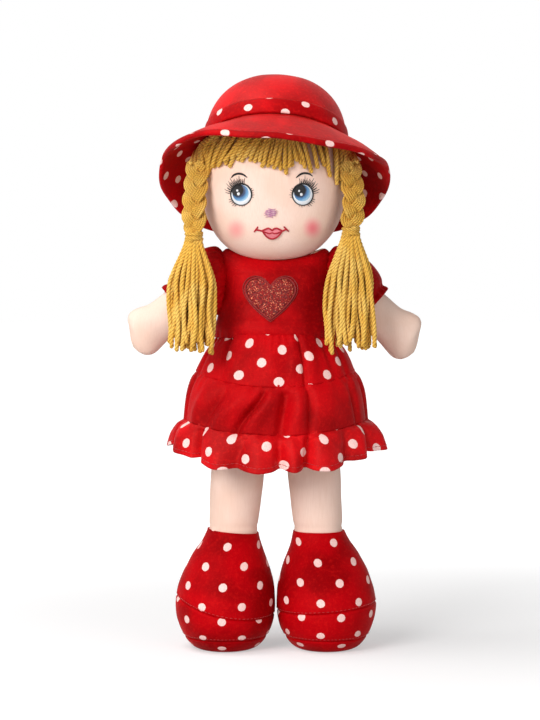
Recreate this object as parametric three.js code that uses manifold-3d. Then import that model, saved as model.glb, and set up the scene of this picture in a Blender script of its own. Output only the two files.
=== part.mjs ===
// Rag doll: a stuffed body with a sewn-on head, arms and booted legs, plaited yarn hair,
// a brimmed hat and a tiered dress.
// Millimetres. +Z is up, the doll faces -Y, and its own left side is at +X.
// The origin is on the floor, in the middle of the doll's box.

import * as THREE from 'three';
import { mergeVertices } from 'three/addons/utils/BufferGeometryUtils.js';
import Module from 'manifold-3d';

const wasm = await Module();
wasm.setup();

// Fabric and seams
const gap = 0.3; // between pieces that touch
const skin_wall = 1.2; // knitted skin fabric
const velour_wall = 1.4; // dress, hat and boot fabric
const thread_height = 0.8; // embroidery stands this far off the face
const cut_overrun = 6; // how far a cutting shape runs past what it cuts
const figure_set_back = 7.5; // from the middle of the box back to the middle of the body

// Heights, each from the one before it
const boot_height = 80;
const leg_length = 96; // from the boot's top to the seam that the leg hinges on
const torso_length = 96.6; // from that seam to the shoulders
const head_rise = 54.4; // from the shoulders to the centre of the face
const hip_height = boot_height + leg_length;
const shoulder_height = hip_height + torso_length;
const head_height = shoulder_height + head_rise;

// Neck and head
const neck_drop = 48; // from the centre of the face to the neck ball, where the head tilts and turns
const neck_radius = 11;
const neck_clearance = 0.5; // the ball turns inside the head and the shoulders
const head_half_width = 49.7;
const head_half_depth = 44;
const head_chin_drop = 50.4; // from the centre of the face to the bottom of the chin
const head_crown_rise = 68; // from the centre of the face to the top, inside the hat

// Face embroidery, from the centre of the face
const eye_spread = 20.8;
const eye_drop = 11.2;
const eye_radius = 7.2;
const iris_radius = 5.6;
const iris_shift = 0.6; // both irises look up and to the doll's right
const pupil_radius = 4;
const brow_lift = 1.8;
const brow_half_width = 5.4;
const brow_rise = 1.2;
const brow_width = 0.9;
const nose_drop = 23.8;
const nose_half_width = 4.2;
const nose_half_height = 2.9;
const mouth_drop = 37.8;
const smile_half_width = 12.2;
const smile_rise = 2.7;
const smile_width = 1;
const lip_half_width = 6.3;
const lip_rise = 3.2;
const lip_drop = 3.8;

// Hair. Its heights and places are from the centre of the face too
const yarn_radius = 1.8;
const fringe_strands = 15;
const fringe_half_width = 41;
const fringe_tip_rise = 7.5;
const fringe_side_drop = 9; // the tips hang lower at the temples
const fringe_notch = 2.5; // between two tips
const fringe_root_rise = 39;
const hair_thickness = 3; // back hair, laid flat on the head
const hairline_nape_drop = 36;
const hairline_slope = 0.73; // it rises this much for each millimetre towards the face
const hair_front = -9; // back hair stops here, behind the plaits
const braid_root = new THREE.Vector3(50.5, -20, 7.5);
const braid_middle = new THREE.Vector3(53.5, -28.5, -15);
const braid_tie = new THREE.Vector3(50.5, -33.5, -40);
const braid_lock_radius = 4.3;
const braid_half_width = 4.2; // how far each lock swings to the side
const braid_half_depth = 2.6;
const braid_pitch = 38;
const tie_radius = 7;
const tie_bore_radius = 5.4;
const tie_length = 5;
const tassel_foot = new THREE.Vector3(52, -42, -116);
const tassel_half_width = 18.5;
const tassel_half_depth = 9.5;
const tassel_strands = 13; // seen round its outside
const tassel_groove = 1.2; // between two strands
const tassel_stagger = 3; // every other strand is this much shorter

// Hat, in its own tilted frame: its origin is the middle of the seam between crown and brim
const hat_seat = new THREE.Vector3(0, 4, 24); // from the centre of the face
const hat_lean_back = THREE.MathUtils.degToRad(25);
const hat_roll = THREE.MathUtils.degToRad(2);
const crown_radius = 50;
const band_width = 13;
const brim_width = 40;
const brim_front_droop = THREE.MathUtils.degToRad(44);
const brim_side_droop = THREE.MathUtils.degToRad(39);
const brim_back_droop = THREE.MathUtils.degToRad(56);
const brim_wave = 1.5;
const brim_waves = 5;
const edge_roll = 1.2; // the lining wraps this far past the brim's edge
const lining_gap = 0.6; // between the brim and its lining
const lining_setback = 3; // from the crown's seam to the lining's inner edge

// Body
const hip_clearance = 0.6; // a leg swings forward under the torso's lower edge
const torso_half_width = 43;
const torso_half_depth = 27.5;
const waist_rise = 41.6; // from the seams that the legs hinge on
const neckline_radius = 18;

// Arms. Each is built along +Z from its shoulder seam and then turned outwards
const arm_length = 79;
const arm_half_width = 15.5;
const arm_half_depth = 11.5;
const arm_droop = { left: THREE.MathUtils.degToRad(41), right: THREE.MathUtils.degToRad(39) };
const arm_seam_drop = 15.6; // from the shoulders
const seam_nose_radius = 1.5; // the doubled fabric where a limb is sewn on
const thumb_radius = 6;
const thumb_along = 67;
const thumb_out = 11.5;
const seam_slit = 0.8; // the arm is stuffed through this slit
const armhole_half_height = 16;
const armhole_half_depth = 12;

// Sleeves
const sleeve_root_half_height = 18;
const sleeve_root_half_depth = 15.5;
const sleeve_root_rise = 1.5; // above the middle of the arm's seam
const sleeve_length = 38; // along the arm, to the cuff
const sleeve_cuff_radius = 15.4;
const sleeve_puff = 4.2;
const sleeve_turn_share = 0.7; // it has turned to the arm's slant this far along

// Legs and boots
const leg_half_width = 18.7;
const leg_half_depth = 17.4;
const leg_top_out = 23;
const leg_ankle_out = 30;
const boot_half_width = 34.2;
const boot_half_depth = 39;
const boot_out = 35.2; // from the middle of the doll to the middle of a boot
const boot_forward = 13; // the toe's push forward
const toe_seam_height = 30;
const toe_seam_tilt = THREE.MathUtils.degToRad(9); // higher on the outside of the foot
const sole_height = 9;

// Dress
const heart_half_width = 17.2;
const heart_height = 28;
const heart_drop = 29.1; // from the shoulders to its middle
const heart_thickness = 1;
const skirt_wall = 1.2;
const upper_tier_length = 31.6;
const middle_tier_length = 32.5;
const ruffle_length = 23.5;
const seam_side_lift = 4.5; // a tier's seam is higher at the sides than in front
const tier_half_width = 56;
const tier_half_depth = 45;
const ruffle_top_half_width = 65;
const ruffle_top_half_depth = 53;
const hem_half_width = 72;
const hem_half_depth = 60;
const tier_folds = 9;
const ruffle_folds = 14;
const tier_fold_depth = 2;
const middle_fold_depth = 3.2;
const ruffle_fold_depth = 3.6;

const head_centre = new THREE.Vector3(0, 0, head_height);
const neck_height = head_height - neck_drop;
const waist_height = hip_height + waist_rise;
const arm_seam_height = shoulder_height - arm_seam_drop;
const tier_seam_height = waist_height - upper_tier_length;
const ruffle_seam_height = tier_seam_height - middle_tier_length;
const hem_height = ruffle_seam_height - ruffle_length;
for (const place of [braid_root, braid_middle, braid_tie, tassel_foot, hat_seat]) {
  place.add(head_centre);
}

const full_turn = 2 * Math.PI;
const quarter_turn = Math.PI / 2;

const skin_cloth = new THREE.MeshStandardMaterial({ color: 0xf0c8ab, roughness: 0.9 });
const filling_fibre = new THREE.MeshStandardMaterial({ color: 0xf4f2ec, roughness: 1 });
const red_velour = new THREE.MeshStandardMaterial({ color: 0xc8101a, roughness: 0.8 });
const dotted_velour = new THREE.MeshStandardMaterial({ color: 0xd0303a, roughness: 0.8 });
const yarn = new THREE.MeshStandardMaterial({ color: 0xd9a53a, roughness: 0.95 });
const white_thread = new THREE.MeshStandardMaterial({ color: 0xf2f4f6, roughness: 0.6 });
const blue_thread = new THREE.MeshStandardMaterial({ color: 0x4f7fb0, roughness: 0.6 });
const black_thread = new THREE.MeshStandardMaterial({ color: 0x15171a, roughness: 0.6 });
const pink_thread = new THREE.MeshStandardMaterial({ color: 0xdc9ab4, roughness: 0.6 });
const wine_thread = new THREE.MeshStandardMaterial({ color: 0x8e1c2c, roughness: 0.6 });
const glitter_cloth = new THREE.MeshStandardMaterial({ color: 0x8c1a1c, roughness: 0.4, metalness: 0.3 });

// Solids

function solid(geometry) {
  const bare = geometry.clone();
  bare.deleteAttribute('normal');
  bare.deleteAttribute('uv');
  const merged = mergeVertices(bare);
  return new wasm.Manifold(
    new wasm.Mesh({
      numProp: 3,
      vertProperties: merged.attributes.position.array,
      triVerts: new Uint32Array(merged.index.array),
    }),
  );
}

function geometryOf(made) {
  const mesh = made.getMesh();
  const geometry = new THREE.BufferGeometry();
  geometry.setAttribute('position', new THREE.BufferAttribute(mesh.vertProperties, 3));
  geometry.setIndex(new THREE.BufferAttribute(mesh.triVerts, 1));
  geometry.computeVertexNormals();
  return geometry;
}

function piece(name, made, material) {
  const mesh = new THREE.Mesh(geometryOf(made), material);
  mesh.name = name;
  return mesh;
}

function join(solids) {
  return solids.reduce((sum, next) => sum.add(next));
}

// The main body of a cut solid, without the slivers that the cut leaves beside it.
function largest(made) {
  return made.decompose().reduce((most, next) => (next.volume() > most.volume() ? next : most));
}

function indexed(points, faces) {
  const geometry = new THREE.BufferGeometry().setFromPoints(points);
  return geometry.setIndex(faces);
}

// A closed form through rings of points listed from the bottom up, with a fan over each end.
function loft(rings) {
  const around = rings[0].length;
  const points = rings.flat();
  const centreOf = (ring) =>
    ring.reduce((sum, point) => sum.add(point), new THREE.Vector3()).divideScalar(around);
  const bottom = points.push(centreOf(rings[0])) - 1;
  const top = points.push(centreOf(rings.at(-1))) - 1;
  const top_ring = (rings.length - 1) * around;
  const faces = [];
  for (let side = 0; side < around; side++) {
    const next = (side + 1) % around;
    for (let level = 0; level < top_ring; level += around) {
      faces.push(level + side, level + next, level + around + next);
      faces.push(level + side, level + around + next, level + around + side);
    }
    faces.push(bottom, next, side, top, top_ring + side, top_ring + next);
  }
  return solid(indexed(points, faces));
}

// A closed ring through profiles, each a loop of points that runs up the outside and down the inside.
function ringOf(profiles) {
  const loop = profiles[0].length;
  const points = profiles.flat();
  const faces = [];
  profiles.forEach((_, at) => {
    const here = at * loop;
    const beyond = ((at + 1) % profiles.length) * loop;
    for (let step = 0; step < loop; step++) {
      const next = (step + 1) % loop;
      faces.push(here + step, beyond + step, beyond + next);
      faces.push(here + step, beyond + next, here + next);
    }
  });
  return solid(indexed(points, faces));
}

function oval(centre, half_width, half_depth, sides) {
  return Array.from({ length: sides }, (_, side) => {
    const turn = (side / sides) * full_turn;
    const across = new THREE.Vector3(half_width * Math.cos(turn), half_depth * Math.sin(turn), 0);
    return across.add(centre);
  });
}

function ball(centre, radius, sides = 20) {
  const geometry = new THREE.SphereGeometry(radius, sides, sides / 2);
  return solid(geometry.translate(centre.x, centre.y, centre.z));
}

function block(low, high) {
  const size = high.clone().sub(low);
  const middle = low.clone().add(high).divideScalar(2);
  return solid(new THREE.BoxGeometry(...size).translate(...middle));
}

// A flat outline in the face's own width and height, run through the doll from front to back.
function frontPrism(outline, depth) {
  const geometry = new THREE.ExtrudeGeometry(outline, {
    depth,
    bevelEnabled: false,
    curveSegments: 6,
  });
  return solid(geometry.rotateX(quarter_turn));
}

const smooth = (share) => share * share * (3 - 2 * share);
const mix = THREE.MathUtils.lerp;

// Head

// The head's form, grown outwards by a distance. It is an egg with the blunt end at the chin.
function headForm(grow, sides = 22, levels = 11) {
  const rings = [];
  for (let level = 1; level < levels; level++) {
    const lift = (level / levels - 1 / 2) * Math.PI;
    const reach = Math.sin(lift) < 0 ? head_chin_drop : head_crown_rise;
    const centre = new THREE.Vector3(0, 0, head_height + (reach + grow) * Math.sin(lift));
    const wide = (head_half_width + grow) * Math.cos(lift);
    rings.push(oval(centre, wide, (head_half_depth + grow) * Math.cos(lift), sides));
  }
  return loft(rings);
}

const neck_centre = new THREE.Vector3(0, 0, neck_height);
const neck_socket = ball(neck_centre, neck_radius + neck_clearance);

function headPieces() {
  const inner_sides = 16;
  const inner_levels = 9;
  const cavity = headForm(-skin_wall, inner_sides, inner_levels);
  const filling = headForm(-skin_wall - gap, inner_sides, inner_levels);
  return [
    piece('head_skin', headForm(0).subtract(cavity).subtract(neck_socket), skin_cloth),
    piece('head_filling', filling.subtract(neck_socket), filling_fibre),
  ];
}

function disc(across, height, radius, squash = 1) {
  const outline = new THREE.Shape();
  outline.absellipse(across, height, radius, radius * squash, 0, full_turn);
  return outline;
}

function brow(side) {
  const outline = new THREE.Shape();
  const brow_height = head_height + brow_lift;
  const across = side * eye_spread;
  outline.moveTo(across - brow_half_width, brow_height);
  outline.quadraticCurveTo(across, brow_height + 2 * brow_rise, across + brow_half_width, brow_height);
  outline.lineTo(across + brow_half_width, brow_height - brow_width);
  outline.quadraticCurveTo(
    across,
    brow_height + 2 * brow_rise - brow_width,
    across - brow_half_width,
    brow_height - brow_width,
  );
  return outline;
}

// Two arched lips with a thin smile line running out of each corner.
function mouth() {
  const outline = new THREE.Shape();
  const mouth_height = head_height - mouth_drop;
  const bow = lip_rise / 2;
  const corner = mouth_height + smile_rise;
  outline.moveTo(-smile_half_width, corner + smile_width / 2);
  outline.lineTo(-smile_half_width, corner - smile_width / 2);
  outline.lineTo(-lip_half_width, mouth_height - smile_width / 2);
  outline.quadraticCurveTo(0, mouth_height - 2 * lip_drop, lip_half_width, mouth_height - smile_width / 2);
  outline.lineTo(smile_half_width, corner - smile_width / 2);
  outline.lineTo(smile_half_width, corner + smile_width / 2);
  outline.lineTo(lip_half_width, mouth_height + smile_width / 2);
  outline.quadraticCurveTo(lip_half_width / 2, mouth_height + 2 * lip_rise, 0, mouth_height + bow);
  outline.quadraticCurveTo(
    -lip_half_width / 2,
    mouth_height + 2 * lip_rise,
    -lip_half_width,
    mouth_height + smile_width / 2,
  );
  return outline;
}

// Embroidery: each patch is its outline, cut out of a thin layer that lies on the face.
function facePieces() {
  const layer = headForm(gap + thread_height).subtract(headForm(gap));
  const patch = (outline) => frontPrism(outline, head_half_depth + cut_overrun).intersect(layer);
  const ring = (outline, hole) => {
    outline.holes.push(hole);
    return patch(outline);
  };
  const pieces = [];
  const eye_height = head_height - eye_drop;
  for (const [name, side] of [['left', 1], ['right', -1]]) {
    const across = side * eye_spread;
    const iris_across = across - iris_shift;
    const iris_height = eye_height + iris_shift / 2;
    const iris = (grow) => disc(iris_across, iris_height, iris_radius + grow);
    const pupil = (grow) => disc(iris_across, iris_height, pupil_radius + grow);
    const white = disc(across, eye_height, eye_radius);
    pieces.push(
      piece(`${name}_eye_white`, ring(white, iris(gap)), white_thread),
      piece(`${name}_iris`, ring(iris(0), pupil(gap)), blue_thread),
      piece(`${name}_pupil`, patch(pupil(0)), black_thread),
      piece(`${name}_brow`, patch(brow(side)), black_thread),
    );
  }
  const nose = disc(0, head_height - nose_drop, nose_half_width, nose_half_height / nose_half_width);
  pieces.push(piece('nose', patch(nose), pink_thread), piece('mouth', patch(mouth()), wine_thread));
  return pieces;
}

// Hat

const hat_placing = new THREE.Matrix4().compose(
  hat_seat,
  new THREE.Quaternion().setFromEuler(new THREE.Euler(-hat_lean_back, hat_roll, 0)),
  new THREE.Vector3(1, 1, 1),
);

const hat_sides = 24;

// The crown's cloth: a half ball that is open below, grown on both faces by a distance.
function crownForm(grow) {
  const steps = 5;
  const outline = [];
  for (let step = 0; step <= steps; step++) {
    const turn = (step / steps) * quarter_turn;
    outline.push(polar(crown_radius + grow, turn));
  }
  for (let step = steps; step >= 0; step--) {
    outline.push(polar(crown_radius - velour_wall - grow, (step / steps) * quarter_turn));
  }
  outline.push(outline[0].clone());
  return solid(new THREE.LatheGeometry(outline.reverse(), hat_sides).rotateX(quarter_turn));
}

// A point on a quarter arc that starts on the axis at the top and ends level with the seam.
function polar(radius, turn) {
  return new THREE.Vector2(turn === 0 ? 0 : radius * Math.sin(turn), radius * Math.cos(turn));
}

function bandForm() {
  const steps = 2;
  const lift = Math.asin(band_width / crown_radius);
  const arc = (radius) =>
    Array.from({ length: steps + 1 }, (_, step) => polar(radius, quarter_turn - (step / steps) * lift));
  const outline = [...arc(crown_radius + gap + velour_wall), ...arc(crown_radius + gap).reverse()];
  outline.push(outline[0].clone());
  return solid(new THREE.LatheGeometry(outline, hat_sides).rotateX(quarter_turn));
}

// A point on the brim: turn 0 is the front, and share runs from the crown's seam to the edge.
function brimPoint(turn, share, below) {
  const front = Math.max(0, Math.cos(turn));
  const back = Math.max(0, -Math.cos(turn));
  const droop =
    brim_side_droop +
    (brim_front_droop - brim_side_droop) * smooth(front) +
    (brim_back_droop - brim_side_droop) * smooth(back);
  const reach = brim_width * share;
  const wave = brim_wave * Math.sin(brim_waves * turn) * share * share;
  const out = crown_radius - velour_wall / 2 + reach * Math.cos(droop) - below * Math.sin(droop);
  const up = -gap - reach * Math.sin(droop) + wave - below * Math.cos(droop);
  return new THREE.Vector3(out * Math.sin(turn), -out * Math.cos(turn), up);
}

function brimRing(top, bottom, first_share, last_share) {
  const around = 40;
  const steps = 2;
  const profiles = Array.from({ length: around }, (_, at) => {
    const turn = (at / around) * full_turn;
    const line = (below) =>
      Array.from({ length: steps + 1 }, (_, step) =>
        brimPoint(turn, mix(first_share, last_share, step / steps), below),
      );
    return [...line(top).reverse(), ...line(bottom)];
  });
  return ringOf(profiles);
}

const lining_top = velour_wall + lining_gap;
const lining_bottom = lining_top + velour_wall;

function hatPieces() {
  const hat = new THREE.Group();
  hat.position.copy(hat_seat);
  hat.rotation.set(-hat_lean_back, hat_roll, 0);
  hat.add(
    piece('hat_crown', crownForm(0), red_velour),
    piece('hat_band', bandForm(), dotted_velour),
    piece('hat_brim', brimRing(0, velour_wall, 0, 1), red_velour),
    piece(
      'hat_brim_lining',
      brimRing(lining_top, lining_bottom, lining_setback / brim_width, 1 + edge_roll / brim_width),
      dotted_velour,
    ),
  );
  return hat;
}

// Hair

const crown_space = crownForm(gap).transform(hat_placing.elements);
const brim_space = brimRing(
  -gap,
  lining_bottom + lining_gap,
  -lining_setback / brim_width,
  1 + lining_setback / brim_width,
).transform(hat_placing.elements);
const head_space = headForm(gap);

// Everything behind the line where the fringe ends and the back hair starts.
function behindFace(grow) {
  const reach = 2 * head_half_depth;
  return block(
    new THREE.Vector3(-reach, hair_front - grow, 0),
    new THREE.Vector3(reach, reach, 2 * head_height),
  );
}

// The fringe: one strand beside the next, from under the hat to a tip of its own.
function fringe() {
  const outline = new THREE.Shape();
  const root_height = head_height + fringe_root_rise;
  outline.moveTo(-fringe_half_width, root_height);
  for (let point = 0; point <= 2 * fringe_strands; point++) {
    const share = point / fringe_strands - 1;
    const notch = point % 2 === 0 ? fringe_notch : 0;
    const rise = fringe_tip_rise - fringe_side_drop * share ** 4 + notch;
    outline.lineTo(share * fringe_half_width, head_height + rise);
  }
  outline.lineTo(fringe_half_width, root_height);
  const layer = headForm(gap + 2 * yarn_radius).subtract(head_space);
  return frontPrism(outline, head_half_depth + cut_overrun)
    .intersect(layer)
    .subtract(crown_space)
    .subtract(brim_space)
    .subtract(behindFace(gap));
}

// Hair laid flat over the back of the head, from under the hat to the hairline.
function backHair() {
  const reach = head_half_depth + hair_thickness + cut_overrun;
  const lean = Math.atan(hairline_slope);
  const above_hairline = block(
    new THREE.Vector3(-2 * reach, -4 * reach, 0),
    new THREE.Vector3(2 * reach, 4 * reach, 4 * reach),
  ).transform(
    new THREE.Matrix4()
      .makeTranslation(0, head_half_depth, head_height - hairline_nape_drop)
      .multiply(new THREE.Matrix4().makeRotationX(-lean)).elements,
  );
  const below_hat = block(
    new THREE.Vector3(-2 * reach, -2 * reach, -4 * reach),
    new THREE.Vector3(2 * reach, 2 * reach, -gap),
  ).transform(hat_placing.elements);
  const layer = headForm(gap + hair_thickness).subtract(head_space);
  return largest(
    layer.intersect(behindFace(0)).intersect(above_hairline).intersect(below_hat).subtract(brim_space),
  );
}

const braid_line = new THREE.CatmullRomCurve3([braid_root, braid_middle, braid_tie]);

// A plait: three locks that cross in turn, drawn in where the tie holds them.
function braid() {
  const steps = 12;
  const length = braid_line.getLength();
  const tied_share = (tie_bore_radius - gap) / (braid_half_width + braid_lock_radius);
  const draw_start = 1 - (3 * tie_length) / length;
  const draw_end = 1 - tie_length / length;
  const locks = [0, 1, 2].map((lock) => {
    const rings = [];
    for (let step = steps; step >= 0; step--) {
      const share = step / steps;
      const phase = (share * length * full_turn) / braid_pitch + (lock * full_turn) / 3;
      const draw = mix(1, tied_share, THREE.MathUtils.smoothstep(share, draw_start, draw_end));
      const centre = braid_line.getPointAt(share);
      centre.x += braid_half_width * Math.sin(phase) * draw;
      centre.y += braid_half_depth * Math.sin(2 * phase) * draw;
      centre.z += share === 1 ? gap / 2 : 0;
      rings.push(oval(centre, braid_lock_radius * draw, braid_lock_radius * draw, 5));
    }
    return loft(rings);
  });
  return join(locks).subtract(head_space);
}

function tie() {
  const half = tie_length / 2;
  const bulge = (tie_radius - tie_bore_radius) / 3;
  const outline = [
    new THREE.Vector2(tie_bore_radius, -half),
    new THREE.Vector2(tie_radius - bulge, -half),
    new THREE.Vector2(tie_radius, 0),
    new THREE.Vector2(tie_radius - bulge, half),
    new THREE.Vector2(tie_bore_radius, half),
    new THREE.Vector2(tie_bore_radius, -half),
  ];
  const ring = new THREE.LatheGeometry(outline, 12).rotateX(quarter_turn);
  return solid(ring.translate(braid_tie.x, braid_tie.y, braid_tie.z));
}

// Loose ends of the plait: strands side by side, which spread below the tie.
function tassel() {
  const bore = tie_bore_radius - 2 * gap;
  const top = braid_tie.clone();
  top.z -= gap / 2;
  const tied_share = tie_length / (top.z - tassel_foot.z) / 2;
  const down_shares = [1, 0.85, 0.62, 0.4, 0.2, tied_share, 0];
  const rings = down_shares.map((share) => {
    const centre = top.clone().lerp(tassel_foot, share);
    const spread = THREE.MathUtils.smoothstep(share, tied_share, down_shares[1]);
    const half_width = mix(bore, tassel_half_width, spread);
    const half_depth = mix(bore, tassel_half_depth, spread);
    return oval(centre, 1, 1, 2 * tassel_strands).map((corner, at) => {
      const groove = at % 2 === 0 ? 0 : tassel_groove * spread;
      corner.x = centre.x + (corner.x - centre.x) * (half_width - groove);
      corner.y = centre.y + (corner.y - centre.y) * (half_depth - groove);
      if (share === 1 && at % 4 === 0) corner.z += tassel_stagger;
      return corner;
    });
  });
  return loft(rings);
}

// Torso

const torso_bottom = hip_height + seam_nose_radius + hip_clearance;

// From the seam that the legs hang on, up to the shoulders: height, width and depth as shares.
const torso_shares = [
  [0, 0.86, 0.03],
  [0.08, 0.94, 0.3],
  [0.19, 1, 0.68],
  [0.3, 1, 0.96],
  [0.42, 0.965, 1],
  [0.65, 0.895, 0.95],
  [0.81, 0.872, 0.9],
  [0.92, 0.85, 0.8],
  [0.975, 0.78, 0.68],
  [1, 0.66, 0.54],
];

function torsoForm(grow, sides = 18) {
  const tall = shoulder_height - torso_bottom;
  const rings = torso_shares.map(([up, wide, deep], at) => {
    const end = at === 0 ? -1 : at === torso_shares.length - 1 ? 1 : 0;
    const centre = new THREE.Vector3(0, 0, torso_bottom + up * tall + end * grow);
    const half_depth = Math.max(gap, deep * torso_half_depth + grow);
    return oval(centre, wide * torso_half_width + grow, half_depth, sides);
  });
  return loft(rings);
}

// The torso's half width at a height, for what is sewn to its side.
function torsoHalfWidth(height) {
  const share = (height - torso_bottom) / (shoulder_height - torso_bottom);
  const above = torso_shares.findIndex(([up]) => up >= share);
  const [low, high] = [torso_shares[above - 1], torso_shares[above]];
  return torso_half_width * mix(low[1], high[1], (share - low[0]) / (high[0] - low[0]));
}

const arm_seam_out = torsoHalfWidth(arm_seam_height) + seam_nose_radius + gap;

function torsoPieces() {
  return [
    piece(
      'torso_skin',
      torsoForm(0).subtract(torsoForm(-skin_wall, 14)).subtract(neck_socket),
      skin_cloth,
    ),
    piece('torso_filling', torsoForm(-skin_wall - gap, 14).subtract(neck_socket), filling_fibre),
  ];
}

// Dress

const bodice_inside = gap;
const bodice_outside = gap + velour_wall;

function armholes() {
  const geometry = new THREE.CylinderGeometry(1, 1, 4 * torso_half_width, 16).rotateZ(quarter_turn);
  geometry.scale(1, armhole_half_depth, armhole_half_height);
  return solid(geometry.translate(0, 0, arm_seam_height));
}

function bodice() {
  const neckline = new THREE.CylinderGeometry(neckline_radius, neckline_radius, 2 * cut_overrun, 20);
  const above_waist = block(
    new THREE.Vector3(-2 * torso_half_width, -2 * torso_half_width, waist_height),
    new THREE.Vector3(2 * torso_half_width, 2 * torso_half_width, 2 * shoulder_height),
  );
  return torsoForm(bodice_outside)
    .subtract(torsoForm(bodice_inside))
    .intersect(above_waist)
    .subtract(solid(neckline.rotateX(quarter_turn).translate(0, 0, shoulder_height)))
    .subtract(armholes());
}

// One half of the heart, from its foot round to the dip: across and up, as shares.
const heart_shares = [
  [0.5, 0.2],
  [1, 0.4],
  [1, 0.68],
  [1, 1.12],
  [0.29, 1.12],
  [0, 0.8],
];

function heart() {
  const foot = shoulder_height - heart_drop - heart_height / 2;
  const half = (side) =>
    heart_shares.map(([across, up]) => [side * across * heart_half_width, foot + up * heart_height]);
  const right = half(-1);
  const left = half(1);
  const outline = new THREE.Shape();
  outline.moveTo(0, foot);
  outline.bezierCurveTo(...right[0], ...right[1], ...right[2]);
  outline.bezierCurveTo(...right[3], ...right[4], ...right[5]);
  outline.bezierCurveTo(...left[4], ...left[3], ...left[2]);
  outline.bezierCurveTo(...left[1], ...left[0], 0, foot);
  const rest = bodice_outside + gap;
  const layer = torsoForm(rest + heart_thickness).subtract(torsoForm(rest));
  return frontPrism(outline, torso_half_depth + cut_overrun).intersect(layer);
}

// One tier of the skirt: a band of cloth in soft folds, between an upper and a lower edge.
function tier(upper, lower, around) {
  const steps = 2;
  const at_edge = (turn, share, inside) => {
    const wide = mix(upper.half_width, lower.half_width, share);
    const deep = mix(upper.half_depth, lower.half_depth, share);
    const fold_depth = mix(upper.fold_depth, lower.fold_depth, share);
    const fold = fold_depth * Math.sin(lower.folds * turn + Math.sin(2 * turn));
    const lift = seam_side_lift * Math.cos(turn) * Math.cos(turn);
    const height = mix(upper.height + upper.lift * lift, lower.height + lower.lift * lift, share);
    return new THREE.Vector3(
      (wide + fold - inside) * Math.cos(turn),
      (deep + fold - inside) * Math.sin(turn),
      height,
    );
  };
  const profiles = Array.from({ length: around }, (_, at) => {
    const turn = (at / around) * full_turn;
    const line = (inside) =>
      Array.from({ length: steps + 1 }, (_, step) => at_edge(turn, step / steps, inside));
    return [...line(0).reverse(), ...line(skirt_wall)];
  });
  return ringOf(profiles);
}

function skirtPieces() {
  const waist = {
    height: waist_height - gap,
    half_width: torsoHalfWidth(waist_height) + bodice_outside,
    half_depth: torso_half_depth + bodice_outside,
    fold_depth: 0,
    lift: 0,
  };
  const tier_seam = {
    height: tier_seam_height,
    half_width: tier_half_width,
    half_depth: tier_half_depth,
    fold_depth: tier_fold_depth,
    folds: tier_folds,
    lift: 1,
  };
  const ruffle_seam = {
    height: ruffle_seam_height,
    half_width: ruffle_top_half_width,
    half_depth: ruffle_top_half_depth,
    fold_depth: middle_fold_depth,
    folds: tier_folds,
    lift: 1,
  };
  const hem = {
    height: hem_height,
    half_width: hem_half_width,
    half_depth: hem_half_depth,
    fold_depth: ruffle_fold_depth,
    folds: ruffle_folds,
    lift: 1,
  };
  const under = (edge) => ({ ...edge, height: edge.height - gap });
  const ruffle_top = { ...under(ruffle_seam), fold_depth: middle_fold_depth / 2 };
  return [
    piece('skirt_upper_tier', tier(waist, tier_seam, 4 * tier_folds), dotted_velour),
    piece('skirt_middle_tier', tier(under(tier_seam), ruffle_seam, 4 * tier_folds), red_velour),
    piece('skirt_ruffle', tier(ruffle_top, hem, 4 * ruffle_folds), dotted_velour),
  ];
}

// Arms

// The rounded edge of a limb's seam: how far past the seam, and how thick, as shares of its radius.
const seam_nose_shares = [
  [0.7, 0.72],
  [1, 0.3],
];

// From the shoulder seam to the fingertips: distance, width and depth as shares.
const arm_shares = [
  [0.3, 0.72, 0.93],
  [0.48, 0.87, 0.97],
  [0.65, 0.96, 1],
  [0.79, 1, 0.98],
  [0.9, 0.86, 0.84],
  [0.97, 0.58, 0.56],
  [1, 0.26, 0.24],
];
const arm_root_depth_share = 0.8;
const arm_sides = 10;

function armForm(grow) {
  const root_depth = arm_root_depth_share * arm_half_depth;
  const nose = [[0, 1], ...seam_nose_shares].map(([past, thick]) => {
    const centre = new THREE.Vector3(0, 0, -past * seam_nose_radius);
    return oval(centre, thick * seam_nose_radius, root_depth, arm_sides);
  });
  const rest = arm_shares.map(([along, wide, deep], at) => {
    const end = at === arm_shares.length - 1 ? grow : 0;
    const centre = new THREE.Vector3(0, 0, along * arm_length + end);
    const half_width = Math.max(gap, wide * arm_half_width + grow);
    return oval(centre, half_width, Math.max(gap, deep * arm_half_depth + grow), arm_sides);
  });
  const thumb = ball(new THREE.Vector3(-thumb_out, 0, thumb_along), thumb_radius + grow, 10);
  return loft(grow < 0 ? rest : [...nose.reverse(), ...rest]).add(thumb);
}

function arm(name, side) {
  const group = new THREE.Group();
  group.position.set(side * arm_seam_out, 0, arm_seam_height);
  group.rotation.y = side * (quarter_turn + arm_droop[name]);
  group.scale.x = side;
  const slit = block(
    new THREE.Vector3(-seam_slit / 2, -arm_half_depth / 2, -cut_overrun),
    new THREE.Vector3(seam_slit / 2, arm_half_depth / 2, arm_shares[0][0] * arm_length + cut_overrun),
  );
  group.add(
    piece(`${name}_arm_skin`, armForm(0).subtract(armForm(-skin_wall)).subtract(slit), skin_cloth),
    piece(`${name}_arm_filling`, armForm(-skin_wall - gap), filling_fibre),
  );
  return group;
}

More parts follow.
